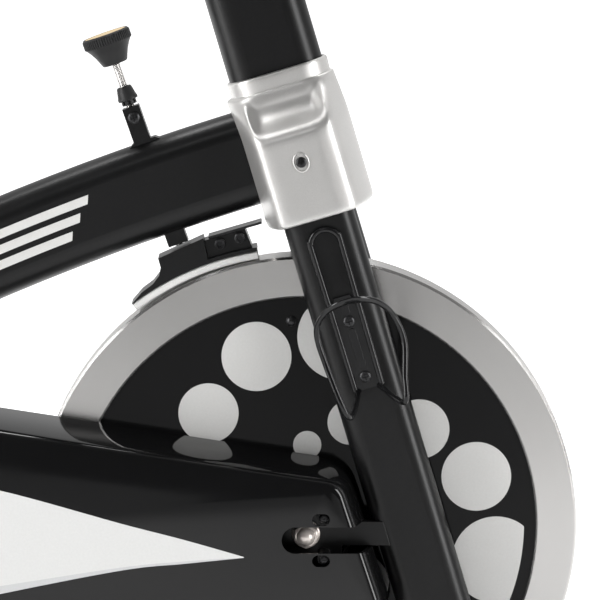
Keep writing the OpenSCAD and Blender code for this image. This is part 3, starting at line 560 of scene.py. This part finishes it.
def build_stage():
    world = bpy.data.worlds.new("studio")
    scene.world = world
    world.use_nodes = True
    tree = world.node_tree
    tree.nodes.clear()
    make = tree.nodes.new
    coords = make("ShaderNodeTexCoord")
    split = make("ShaderNodeSeparateXYZ")
    height = make("ShaderNodeMapRange")
    side = make("ShaderNodeMapRange")
    product = make("ShaderNodeMath")
    room = make("ShaderNodeBackground")
    white = make("ShaderNodeBackground")
    seen = make("ShaderNodeLightPath")
    mix = make("ShaderNodeMixShader")
    out = make("ShaderNodeOutputWorld")
    # Dark towards the front side of the room, bright behind and above the bike
    for node, low, high, darkest, brightest in ((side, -0.5, 0.7, 0.03, 1.0),
                                                (height, -0.1, 0.9, 0.75, 1.0)):
        node.interpolation_type = "SMOOTHSTEP"
        node.inputs["From Min"].default_value = low
        node.inputs["From Max"].default_value = high
        node.inputs["To Min"].default_value = darkest
        node.inputs["To Max"].default_value = brightest
    product.operation = "MULTIPLY"
    room.inputs["Strength"].default_value = 0.9
    white.inputs["Strength"].default_value = 1.0
    white.inputs["Color"].default_value = (1, 1, 1, 1)
    join = tree.links.new
    join(coords.outputs["Generated"], split.inputs[0])
    join(split.outputs["Y"], side.inputs["Value"])
    join(split.outputs["Z"], height.inputs["Value"])
    join(side.outputs["Result"], product.inputs[0])
    join(height.outputs["Result"], product.inputs[1])
    join(product.outputs[0], room.inputs["Color"])
    join(seen.outputs["Is Camera Ray"], mix.inputs[0])
    join(room.outputs[0], mix.inputs[1])
    join(white.outputs[0], mix.inputs[2])
    join(mix.outputs[0], out.inputs["Surface"])

    paper = Paint("paper_floor", (0.93, 0.93, 0.93), 0.9, Specular_IOR_Level=0.1)
    paper.vary_colour(paper.noise(3), (0.92, 0.92, 0.92), (0.94, 0.94, 0.94))
    # The paper glows behind the bike, so that it is as white as the wall it turns into
    paper.set("Emission Color", (1, 1, 1, 1))
    split = paper.node("ShaderNodeSeparateXYZ")
    paper.link(paper.coords, split.inputs[0])
    paper.link(paper.remap(split.outputs["Y"], 0.02, 0.9, -0.6, 1.1),
               paper.shader.inputs["Emission Strength"])
    sheet = Shape().add([(-40, -40, 0), (40, -40, 0), (40, 40, 0), (-40, 40, 0)], [(0, 1, 2, 3)])
    floor = bpy.data.objects.new("floor", as_mesh("floor", sheet, move(0, 0, -0.0004)))
    floor.data.materials.append(paper.material)
    scene.collection.objects.link(floor)


def add_light(name, power, size, place, target):
    """Soft rectangular light that looks at a target, all in metres."""
    data = bpy.data.lights.new(name, "AREA")
    data.energy = power
    data.shape = "RECTANGLE"
    data.size, data.size_y = size
    light = bpy.data.objects.new(name, data)
    light.location = place
    light.rotation_euler = (Vector(target) - Vector(place)).to_track_quat("-Z", "Y").to_euler()
    scene.collection.objects.link(light)
    light.visible_camera = False


def build_lights():
    target = (AXLE.x, 0, 0.45)
    add_light("top_light", 45, (2.4, 0.6), (AXLE.x - 0.3, 0.6, 2.9), target)
    add_light("left_strip", 60, (0.9, 2.2), (AXLE.x - 2.4, -1.1, 1.1), target)
    add_light("right_strip", 55, (0.9, 2.2), (AXLE.x + 2.3, -1.3, 1.1), target)
    add_light("front_fill", 8, (1.2, 0.8), (AXLE.x - 0.8, -3.4, 3.4), target)


def build_camera():
    data = bpy.data.cameras.new("camera")
    data.lens = 276
    data.sensor_width = 36
    data.clip_end = 200
    camera = bpy.data.objects.new("camera", data)
    camera.location = (AXLE.x - 0.00486, -3.81253, 1.02365)
    camera.rotation_euler = (math.radians(82), 0, 0)
    scene.collection.objects.link(camera)
    scene.camera = camera
    scene.view_settings.view_transform = "Standard"


# ---------- head shroud ----------

# Half a section of the shroud's block, forward and to the right, from its front to its rear
SHROUD_BLOCK = [(48.5, 0), (48.3, 12), (46.5, 24), (43.5, 36), (40, 46), (36.5, 54),
                (33.5, 57.5), (30.5, 60.6), (21, 63.2), (17.5, 63.9), (0, 64), (-14, 64),
                (-24, 63.8), (-30.5, 62), (-34.5, 56), (-39, 40), (-43, 24), (-44.5, 0)]
# Where the same lines reach the oval top: as angles around its front and rear round ends
SHROUD_FRONT_TURNS = [0, 12, 24, 34, 42, 49, 55, 60, 76, 90]
SHROUD_REAR_TURNS = [90, 72, 58, 50, 30, 12, 0]
# The lines inside the scoop above the flat face
SHROUD_SCOOP = range(8, 13)


def shroud_oval(middle, half_length, half_width):
    reach = half_length - half_width
    front = [(middle + reach + half_width * math.cos(math.radians(a)),
              half_width * math.sin(math.radians(a))) for a in SHROUD_FRONT_TURNS]
    rear = [(middle - reach - half_width * math.cos(math.radians(a)),
             half_width * math.sin(math.radians(a))) for a in SHROUD_REAR_TURNS]
    return front + [(middle, half_width)] + rear


def shroud_rows():
    """Levels up the head axis, each with its section from front to rear."""
    top = shroud_oval(-0.5, 46.5, 29)
    levels = [(20, 0, 0), (21.2, 0, 0), (27, 0, 0), (40, 0, 0), (58, 0, 0), (82, 0, 0),
              (91, 0, 0), (94.5, 0.04, 0.02), (98, 0.13, 0.06), (101, 0.28, 0.12),
              (104, 0.46, 0.2), (108, 0.65, 0.32), (113, 0.8, 0.48), (118, 0.9, 0.66),
              (122, 0.95, 0.81), (126, 0.98, 0.94), (129, 1, 1)]
    rows = []
    for height, scoop, rest in levels:
        inset = 1.4 if height == 20 else 0
        row = []
        for k, ((v, y), (tv, ty)) in enumerate(zip(SHROUD_BLOCK, top)):
            share = scoop if k in SHROUD_SCOOP else rest
            shrink = 1 - inset / 50
            row.append(((v + (tv - v) * share) * shrink, -(y + (ty - y) * share) * shrink, height))
        rows.append(row)
    for height, half_length, half_width in ((130.2, 45.4, 28.4), (130.7, 44.2, 27.8),
                                            (130.9, 43, 27.4), (131.6, 42.9, 27.3),
                                            (140.5, 43.4, 27.4), (142.8, 43.2, 27.2),
                                            (143.8, 42.3, 26.4), (143.9, 40.7, 22)):
        rows.append([(v, -y, height) for v, y in shroud_oval(0.6, half_length, half_width)])
    return rows


def build_shroud():
    rows = shroud_rows()
    last = len(rows[0]) - 1
    for side, mirror in (("right", 1), ("left", -1)):
        shape = Shape()
        count = last + 1
        points = [(v, y * mirror, u) for row in rows for v, y, u in row]
        faces = []
        for i in range(len(rows) - 1):
            height = rows[i][0][2]
            open_rear = 40 <= height < 118
            for k in range(last - 1 if open_rear else last):
                a = i * count + k
                faces.append((a, a + 1, a + count + 1, a + count))
        shape.add(points, faces)
        obj = bpy.data.objects.new("shroud_" + side, as_mesh("shroud_" + side, shape, HEAD))
        scene.collection.objects.link(obj)
        add_modifier(obj, "SUBSURF", levels=3, render_levels=3)
        add_modifier(obj, "SOLIDIFY", thickness=0.0024, offset=-1)
        bake_modifiers(obj)
        finish_piece(obj, "frame", SILVER, 50, ("head_shroud_" + side,))
        build_screw_boss(side, mirror)


def build_screw_boss(side, mirror):
    """Raised oval ring with a sunk floor around the shroud's screw."""
    ring = Shape()
    rows = []
    for half, height in (((6.8, 8.7), -1), ((6.8, 8.7), 0.5), ((6.3, 8.2), 1.0),
                         ((5.6, 7.5), 1.0), ((5.1, 7.0), 0.4), ((5.0, 6.9), -0.6)):
        rows.append([(half[0] * math.cos(a), half[1] * math.sin(a), height)
                     for a in (2 * math.pi * k / 48 for k in range(48))])
    ring.rings(rows, caps=False)
    ring.add([(*p[:2], 0.15) for p in rows[-1]], [tuple(range(48))])
    face = TO_RIGHT if mirror == 1 else TO_LEFT
    place = HEAD @ move(0, -SHROUD_FACE * mirror, SHROUD_SCREW_U) @ face
    piece("shroud_boss_" + side, ring, place, "frame", SILVER, sharp=50)


# ---------- belt cover ----------

# Circles whose common hull is the cover's outline: X, Z and radius
COVER_CIRCLES = [(BB_X, BB_Z, 126), (40.9, 246, 30), (13.15, 329, 30)]
# Steps of the cover's edge from the bike outwards: inset of the outline and distance out
COVER_EDGE = [(0, 24), (1, 38), (2.8, 54), (5.2, 68), (8, 79), (9, 82), (10.2, 84.4),
              (11.8, 86.3), (13.8, 87.5), (16, COVER_FACE)]


def cover_outline(inset, samples=2.0):
    """Outline at an inset. It keeps its point count, so that two insets can be joined."""
    corners = []
    count = len(COVER_CIRCLES)
    for i in range(count):
        x1, z1, r1 = COVER_CIRCLES[i]
        x2, z2, r2 = COVER_CIRCLES[(i + 1) % count]
        along = math.atan2(z2 - z1, x2 - x1)
        tilt = math.asin((r1 - r2) / math.hypot(x2 - x1, z2 - z1))
        corners.append(along - math.pi / 2 + tilt)
    points = []
    for i, (x, z, r) in enumerate(COVER_CIRCLES):
        start, end = corners[i - 1], corners[i]
        while end < start:
            end += 2 * math.pi
        steps = max(int(math.degrees(end - start) / samples), 2)
        for s in range(steps + 1):
            a = start + (end - start) * s / steps
            points.append((x + (r - inset) * math.cos(a), z + (r - inset) * math.sin(a)))
    return points


def cover_solid(inset, depth, steps):
    """Closed body of the cover, shrunk by an inset and a depth for its inside."""
    shape = Shape()
    rows = [[(x, z, out - depth) for x, z in cover_outline(edge + inset)] for edge, out in steps]
    return shape.rings(rows)


def slot_outline(x1, x2, half_height, z):
    """Slot with a round rear end and a round front end."""
    rear = circle(half_height, 17, x1, z, 90, 180)
    front = circle(half_height, 17, x2, z, -90, 180)
    return rear + front


def build_cover():
    side = BIKE @ TO_RIGHT
    name = "belt_cover_shell"
    obj = bpy.data.objects.new(name, as_mesh(name, cover_solid(0, 0, COVER_EDGE), side))
    scene.collection.objects.link(obj)
    cut(obj, cover_solid(3, 3, [(0, 22)] + COVER_EDGE), side)
    cutters = Shape()
    cutters.plate(slot_outline(-9, 140, 11, AXLE_Z), 53, 100)
    cutters.plate(circle(15, 48, BB_X, BB_Z), 80, 100)
    for s in (-1, 1):
        cutters.plate(slot_outline(10, 15, 4.9, AXLE_Z + s * SLOT_SCREW_GAP), 80, 100)
    cut(obj, cutters, side)
    finish_piece(obj, "frame", COVER, 32, ("belt_cover_outer",))


def build_swoosh():
    """Tapered band on the cover's face, with a grey lower edge."""
    upper = smooth_path([(-51, 286.3, 0), (-100, 300.5, 0), (-151.4, 314, 0), (-251.6, 341.9, 0),
                         (-330, 356, 0), (-385, 353, 0)], 8)
    middle = smooth_path([(-51, 286, 0), (-100, 282.6, 0), (-151.4, 277.6, 0),
                          (-251.6, 262, 0), (-330, 250, 0), (-385, 257, 0)], 8)
    lower = smooth_path([(-51, 285.6, 0), (-100, 280.6, 0), (-151.4, 275.1, 0),
                         (-251.6, 255.3, 0), (-330, 237, 0), (-385, 243, 0)], 8)
    side = BIKE @ TO_RIGHT
    for name, top, bottom, film in (("swoosh_white", upper, middle, WHITE_FILM),
                                    ("swoosh_grey", middle, lower, GREY_FILM)):
        outline = [(p.x, p.y) for p in top] + [(p.x, p.y) for p in reversed(bottom)]
        band = Shape().plate(outline, COVER_FACE - 0.1, COVER_FACE + 0.12)
        piece(name, band, side, "frame", film)


# ---------- flywheel ----------

# Printed dots of one quarter of the disc: distance, angle and radius
WHEEL_DOTS = [(162.5, 79.4, 37), (148.6, 106.1, 29.2), (125, 130.6, 25.2), (94.7, 156.9, 19),
              (68, 179, 11.8)]
DOT_LIMIT = 183


def build_wheel_dots():
    for name, face in (("right", TO_RIGHT), ("left", TO_LEFT)):
        dots = Shape()
        for quarter in range(4):
            for distance, angle, r in WHEEL_DOTS:
                a = math.radians(angle + 90 * quarter)
                outline = []
                for x, z in circle(r, 72, distance * math.cos(a), distance * math.sin(a)):
                    reach = math.hypot(x, z)
                    share = min(1, DOT_LIMIT / reach)
                    outline.append((x * share, z * share))
                dots.plate(outline, 17.95, 18.1)
        piece("wheel_dots_" + name, dots, BIKE @ AT_AXLE @ face, "flywheel",
              SILVER_FILM)


# ---------- bottle cage ----------

CAGE_LOOP = [(9, -61, -9), (26, -111, -20), (33, -108, 2), (40, -104, 28), (37.5, -106, 50),
             (29, -119, 66), (15, -130, 74), (0, -131, 75), (-15, -121, 70), (-26, -108, 56),
             (-27, -106, 30), (-21, -111, -19), (-9, -61, -9)]


def build_cage():
    def section(share):
        flat = max(0, 1 - abs(share - 0.54) / 0.16)
        flat = flat * flat * (3 - 2 * flat)
        return (2.5 - 1.1 * flat, 2.5 + 1.5 * flat)

    cage = Shape()
    cage.tube(smooth_path(CAGE_LOOP, 10), section, 16)
    top = [(12.5 * math.cos(a), -61, 116 + 12.5 * math.sin(a))
           for a in (math.pi * k / 12 for k in range(13))]
    cage.tube(smooth_path([(11.3, -61, -8), (11.8, -61, 50)] + top + [(-11.8, -61, 50),
                          (-11.3, -61, -8)], 5), 2.5, 16)
    piece("cage_wires", cage, CAGE, "frame", WIRE, replaces=("bottle_cage",))
    back = Shape()
    outline = [(-9, -9), (9, -9), (10.5, -6), (10.5, 62), (7, 71), (-7, 71), (-10.5, 62),
               (-10.5, -6)]
    back.plate(outline, 58.2, 60.6, TO_RIGHT)
    for low, high in ((12, 40), (57, 64)):
        back.plate(slot_outline_upright(0, low, high, 3.2), 60.6, 61.4, TO_RIGHT)
    piece("cage_back", back, CAGE, "frame", WIRE, bevel=0.6)


def slot_outline_upright(x, low, high, half_width):
    return circle(half_width, 13, x, high, 0, 180) + circle(half_width, 13, x, low, 180, 180)


# ---------- fasteners ----------

def phillips_screw(shape, r, at, head=2.4):
    """Round-headed screw with a cross recess; its seat is at Z = 0, its head points up Z."""
    profile = [(0, -1), (r, -1), (r, 0.2), (0.96 * r, 0.45 * head), (0.78 * r, 0.8 * head),
               (0.6 * r, 0.94 * head)]
    count = 40
    shape.lathe(profile, at, count)
    rim = [(0.6 * r * math.cos(a), 0.6 * r * math.sin(a), 0.94 * head)
           for a in (2 * math.pi * k / count for k in range(count))]
    deep = []
    for x, y, z in rim:
        angle = math.degrees(math.atan2(y, x)) % 90
        in_arm = angle < 14 or angle > 76
        reach = 0.92 if in_arm else 0.35
        deep.append((x * reach, y * reach, z))
    floor = [(x * 0.9, y * 0.9, 0.35 * head) for x, y, z in deep]
    shape.rings([rim, deep, floor], caps=False, at=at)
    shape.add(floor, [tuple(range(count))], at)


def build_trim_screws():
    screws = Shape()
    for face, mirror in ((TO_RIGHT, 1), (TO_LEFT, -1)):
        place = HEAD_IN_BIKE @ move(0, -SHROUD_FACE * mirror, SHROUD_SCREW_U) @ face
        phillips_screw(screws, 4.5, place, 2.2)
    for s in (-1, 1):
        phillips_screw(screws, 4.35, move(15, -80.5, AXLE_Z + s * SLOT_SCREW_GAP) @ TO_RIGHT, 3)
    for u in (1.4, 49.4):
        phillips_screw(screws, 5, HEAD_IN_BIKE @ move(0, -60.6, u + CAGE_U) @ TO_RIGHT, 2.8)
    piece("trim_screw_heads", screws, BIKE, "frame", SCREW, sharp=30,
          replaces=("trim_screws",))


def build_dome_nuts():
    nuts = Shape()
    for face in (TO_RIGHT, TO_LEFT):
        at = AT_AXLE @ face
        nuts.lathe([(7.6, 57), (11.8, 57), (11.9, 58.6), (11.4, 59.7), (10.4, 60.3),
                    (9.2, 60.6)], at, 72)
        rows = []
        for out, scale, round_share in ((60, 10.9, 0), (68.6, 10.9, 0), (70, 10.6, 0.45),
                                        (70.6, 9.6, 1), (70.9, 7.8, 1)):
            row = []
            for k in range(72):
                a = math.radians(5 * k)
                within = (math.degrees(a) + 30) % 60 - 30
                flat = scale * math.cos(math.radians(30)) / math.cos(math.radians(within))
                r = flat + (scale * 0.93 - flat) * round_share
                row.append((r * math.cos(a), r * math.sin(a), out))
            rows.append(row)
        for k in range(7):
            a = math.radians(15 * k)
            row_r = 7.7 * math.cos(a)
            rows.append([(row_r * math.cos(math.radians(5 * j)),
                          row_r * math.sin(math.radians(5 * j)),
                          71.2 + 7.4 * math.sin(a)) for j in range(72)])
        nuts.rings(rows, caps=False, at=at)
    for face, low, high in ((TO_RIGHT, 48.5, 50), (TO_LEFT, 20.5, 50)):
        nuts.lathe([(7.5, low), (11, low), (11, high), (7.5, high)], AT_AXLE @ face, 48, ring=True)
    piece("axle_nuts", nuts, BIKE, "frame", NICKEL, sharp=28,
          replaces=("axle_hardware",))


# ---------- brake ----------

def thread_rows(r, depth, pitch, low, high, around=20):
    """Rings of a screw thread between two heights."""
    rows = []
    steps = int((high - low) / pitch * 5)
    for i in range(steps + 1):
        z = low + (high - low) * i / steps
        row = []
        for k in range(around):
            phase = (z / pitch - k / around) % 1
            cut_in = depth * abs(2 * phase - 1)
            a = 2 * math.pi * k / around
            row.append(((r - cut_in) * math.cos(a), (r - cut_in) * math.sin(a), z))
        rows.append(row)
    return rows


# Up the brake rod: its tip, where its thread starts, and the knob's underside
ROD_TIP = -51.4
THREAD_START = 60
KNOB_BASE = 109
ROD_R = 3.5


def build_brake_knob():
    knurls = 60

    def knurl(r, z, k):
        band = 1 if 17.9 <= z <= 24.6 and r > 19 else 0
        return band * (0.45 if k % 4 in (0, 1) else -0.35)

    knob = Shape()
    knob.lathe([(0, 0), (9.6, 0), (10.3, 0.3), (10.9, 1.2), (12.2, 4.5), (14.1, 9), (16.6, 13.4),
                (18.6, 16.2), (19.6, 17.3), (20, 18), (20.05, 18.3), (20.1, 18.7), (20.1, 21),
                (20.1, 24.2), (20.1, 24.6), (20.0, 25.2), (19.4, 26.1), (18.8, 26.5),
                (18.2, 26.4), (18, 26), (18, 25), (0, 25)],
               move(0, 0, KNOB_BASE), knurls * 4, wobble=knurl)
    piece("brake_knob_body", knob, ROD, "brake_knob", PLASTIC, sharp=40,
          replaces=("brake_knob",))
    cap = Shape()
    cap.lathe([(0, 26.9), (9, 26.8), (15, 26.6), (17.4, 26.4), (17.9, 26), (17.9, 25.1)],
              move(0, 0, KNOB_BASE), 64)
    piece("brake_knob_cap", cap, ROD, "brake_knob", BRASS)


def build_brake_rod():
    rod = Shape()
    rod.rings(thread_rows(ROD_R, 0.35, 1.25, THREAD_START, KNOB_BASE + 4))
    rod.lathe([(0, ROD_TIP), (ROD_R - 0.6, ROD_TIP), (ROD_R, ROD_TIP + 0.6),
               (ROD_R, THREAD_START), (0, THREAD_START)], None, 40)
    piece("brake_rod_thread", rod, ROD, "brake_knob", STEEL, sharp=30,
          replaces=("brake_rod",))
    collar = Shape()

    def notch(r, z, k):
        return -1.6 if r > 6 and k % 12 < 4 and 74 < z < 76.9 else 0

    collar.lathe([(3.6, 73), (5.8, 73), (6.3, 73.3), (6.3, 73.9), (6.3, 74.1), (6.3, 76.6),
                  (6.4, 76.8), (6.6, 77), (8, 77), (8.4, 77.3), (8.4, 79.3), (8, 80),
                  (6.4, 87.6), (5.7, 88.7), (4.4, 88.9), (3.6, 88.7)], None, 96, wobble=notch)
    piece("brake_collar_body", collar, ROD, "brake_slider", PLASTIC,
          replaces=("brake_collar",))


def build_felt():
    """Felt block of the brake, with soft edges and a fibrous skin."""
    shape = Shape()
    inner = WHEEL_R + 0.2
    start, sweep, steps = 99.9, 28, 60
    rows = []
    for i in range(steps + 1):
        a = math.radians(start + sweep * i / steps)
        row = []
        for k in range(32):
            t = 2 * math.pi * k / 32
            across = math.copysign(min(abs(math.cos(t)) * 1.35, 1), math.cos(t))
            up = math.copysign(min(abs(math.sin(t)) * 1.35, 1), math.sin(t))
            fuzz = noise.noise(Vector((i * 0.9, k * 0.8, 4))) * 0.22
            r = inner + 3.45 + 3.25 * up + (fuzz if up > 0 else 0.1 * abs(fuzz))
            row.append((r * math.cos(a), (14.8 + fuzz) * across, AXLE_Z + r * math.sin(a)))
        rows.append(row)
    shape.rings(rows)
    piece("felt_block", shape, ARM, "brake_arm", FELT, sharp=60, replaces=("brake_pad",))


def build_brake_screws():
    """Cross-head screw of the upright guide and the two bolts of the pad carrier's clamp."""
    screw = Shape()
    phillips_screw(screw, 5, move(0, -9.3, 62) @ TO_RIGHT, 2.2)
    piece("guide_screw", screw, ROD, "frame", SCREW, sharp=30)
    bolts = Shape()
    for x, z in ((-71, 536.2), (-54.5, 541.6)):
        for face, side in ((TO_RIGHT, -15), (TO_LEFT, 15)):
            bolts.lathe([(0, 0.3), (2.3, 0.3), (2.5, 1.6), (3.9, 1.7), (4.5, 1.2), (4.5, -0.1)],
                        move(x, side, z) @ face, 36)
    piece("clamp_bolts", bolts, ARM, "brake_arm", SCREW, sharp=30)


# ---------- saddle, grips and straps ----------

# Half of the saddle's outline from its tail to its nose: X and half-width
SADDLE_EDGE = [(-826, 0), (-824, 46), (-806, 90), (-772, 108), (-737, 96), (-702, 64),
               (-672, 46), (-630, 34), (-595, 27), (-566, 18), (-559, 0)]
SADDLE_LEVELS = [(884.4, 0.9), (886, 0.955), (892, 0.985), (902, 0.99), (914, 0.97),
                 (923, 0.93), (929, 0.86), (933, 0.74), (935.5, 0.56), (937, 0.34), (937.6, 0.12)]
SADDLE_MIDDLE = -700
SADDLE_CAP = 0.006


def saddle_outline(scale):
    half = [(SADDLE_MIDDLE + (x - SADDLE_MIDDLE) * (1 - (1 - scale) * 0.6), y * scale, 0)
            for x, y in SADDLE_EDGE]
    other = [(x, -y, z) for x, y, z in half[-2:0:-1]]
    return [(p.x, p.y) for p in smooth_path(half + other, 6, closed=True)]


def inflate(obj, pressure, cap):
    """Lets air pressure round a closed mesh, moving no point further than the cap."""
    add_modifier(obj, "REMESH", mode="VOXEL", voxel_size=0.005)
    bake_modifiers(obj)
    start = [v.co.copy() for v in obj.data.vertices]
    cloth = add_modifier(obj, "CLOTH")
    cloth.settings.use_pressure = True
    cloth.settings.uniform_pressure_force = pressure
    cloth.settings.effector_weights.gravity = 0
    cloth.settings.quality = 5
    for number in range(1, 21):
        scene.frame_set(number)
    bake_modifiers(obj)
    scene.frame_set(1)
    for vertex, origin in zip(obj.data.vertices, start):
        step = vertex.co - origin
        if step.length > cap:
            vertex.co = origin + step * (cap / step.length)


def build_saddle():
    rows = [[(x, y, z) for x, y in saddle_outline(scale)] for z, scale in SADDLE_LEVELS]
    shape = Shape().rings(rows)
    obj = bpy.data.objects.new("saddle_cushion", as_mesh("saddle_cushion", shape, BIKE))
    scene.collection.objects.link(obj)
    add_modifier(obj, "REMESH", mode="VOXEL", voxel_size=0.005)
    bake_modifiers(obj)
    inflate(obj, 4, SADDLE_CAP)
    add_modifier(obj, "SMOOTH", factor=0.5, iterations=4)
    add_modifier(obj, "SUBSURF", levels=1, render_levels=1)
    bake_modifiers(obj)
    base = 0.8843
    for vertex in obj.data.vertices:
        p = vertex.co
        x = (p.x - AXLE.x) * 1000
        y = p.y * 1000
        top = max(0, min(1, (p.z - 0.915) / 0.012))
        along = max(0, 1 - abs((x + 690) / 105) ** 3)
        groove = 6 * math.exp(-(y / 8) ** 2) * along
        dish = 3.5 * math.exp(-((x + 700) / 45) ** 2)
        p.z = max(p.z - (groove + dish) * top / 1000, base)
    finish_piece(obj, "saddle", VINYL, 60, ("saddle",))
    build_saddle_seams(obj)


def build_saddle_seams(cushion):
    """Piping around the cushion and a row of stitches beside it, laid on its surface."""
    bpy.context.view_layer.update()
    seam = Shape()
    stitches = Shape()
    to_bike = BIKE.inverted()

    def on_cushion(x, y, height):
        """The cushion's side at a height, looking in from outside along its outline."""
        outer = BIKE @ Vector((x, y, height))
        inner = BIKE @ Vector((SADDLE_MIDDLE + (x - SADDLE_MIDDLE) * 0.8, 0, height))
        hit, place = cushion.ray_cast(outer, (inner - outer).normalized())[:2]
        return to_bike @ place if hit else None

    route = []
    for x, y in saddle_outline(1.25):
        place = on_cushion(x, y, 906)
        if place:
            route.append(place)
    seam.tube(smooth_path(route, 2, closed=True), 1.1, 10, closed=True)
    piece("saddle_piping", seam, BIKE, "saddle", VINYL)
    above = smooth_path([p for p in (on_cushion(x, y, 911) for x, y in saddle_outline(1.25)) if p],
                        4, closed=True)
    for k in range(0, len(above) - 3, 3):
        stitches.tube([above[k], above[k + 1], above[k + 2]], 0.5, 6)
    piece("saddle_stitches", stitches, BIKE, "saddle", THREAD)


def build_grips():
    """Foam sleeves with shallow rings, open where the bar goes on."""
    grips = Shape()

    def sleeve(at, start, end, closed):
        outer = [(12.55, start), (14.6, start), (15.6, start + 1)]
        rings = int((end - start - 4) / 5)
        for i in range(rings):
            z = start + 2 + (end - start - 4) * i / rings
            outer += [(15.9, z), (15.9, z + 3.4), (15.3, z + 4), (15.3, z + 4.4)]
        if closed:
            outer += [(15.9, end - 1), (15.6, end + 3), (14, end + 4.8), (0, end + 5)]
            grips.lathe(outer, at, 48)
        else:
            outer += [(15.6, end - 1), (14.6, end), (12.55, end)]
            grips.lathe(outer, at, 48, ring=True)

    for side in (-1, 1):
        sleeve(move(0, 205 * side, 0) @ turn(90, "Y"), 47, 150, True)
        sleeve(move(0, 48 * side, 0) @ turn(90, "Y"), 28, 148, False)
        sleeve(turn(-90 * side, "X"), 78, 158, False)
    obj = piece("foam_grips", grips, BAR, "handlebar", FOAM, sharp=40,
                replaces=("handlebar_grips",))


def build_toe_straps():
    """Webbing strap around each pedal and its toe cage, with a small buckle."""
    crank_length = 170
    loop = [(-210, -2), (-209, 28), (-198, 54), (-180, 66), (-160, 70.6), (-140, 66), (-122, 54),
            (-111.5, 28), (-110.5, -2), (-113, -13), (-160, -14.5), (-207, -13)]
    for name, side, height in (("right", 1, BB_Z - crank_length),
                               ("left", -1, BB_Z + crank_length)):
        strap = Shape()
        path = smooth_path([(BB_X + 44, y * side, height + z) for y, z in loop], 8, closed=True)
        strap.tube(path, lambda share: (1.0, 7.5), 12, closed=True)
        piece("toe_strap_" + name, strap, BIKE, "pedal_" + name, WEBBING)
        buckle = Shape()
        buckle.slab((BB_X + 34, -212.5 * side, height + 14),
                    (BB_X + 54, -209.5 * side, height + 34))
        piece("strap_buckle_" + name, buckle, BIKE, "pedal_" + name, STEEL,
              bevel=0.8)


# ---------- main tube stripes ----------

def build_stripes():
    """Plain slanted stripes along both sides of the main tube."""
    for side in (-1, 1):
        stripes = Shape()
        for middle, start, end in ((12, 20.6, 29), (0, 20.9, 27), (-12, 21.2, 25)):
            steps = 40
            rows = []
            for i in range(steps + 1):
                phi = start + (end - start) * i / steps
                row = []
                for n, y in ((middle - 3.6, 19.97), (middle + 3.6, 19.97),
                             (middle + 3.6, 20.12), (middle - 3.6, 20.12)):
                    slant = phi - math.degrees((n - middle) * 0.45 / MAIN_R)
                    a = math.radians(slant)
                    row.append((MAIN_CX - (MAIN_R + n) * math.sin(a), side * y,
                                MAIN_CZ + (MAIN_R + n) * math.cos(a)))
                rows.append(row)
            stripes.rings(rows)
        piece("tube_stripes_" + ("right" if side < 0 else "left"), stripes, BIKE, "frame",
              SILVER_FILM)


# ---------- the whole ----------

build_stage()
build_lights()
build_camera()
paint_cad_nodes()
build_shroud()
build_cover()
build_swoosh()
build_wheel_dots()
build_cage()
build_trim_screws()
build_dome_nuts()
build_brake_knob()
build_brake_rod()
build_felt()
build_brake_screws()
build_stripes()
build_saddle()
build_grips()
build_toe_straps()
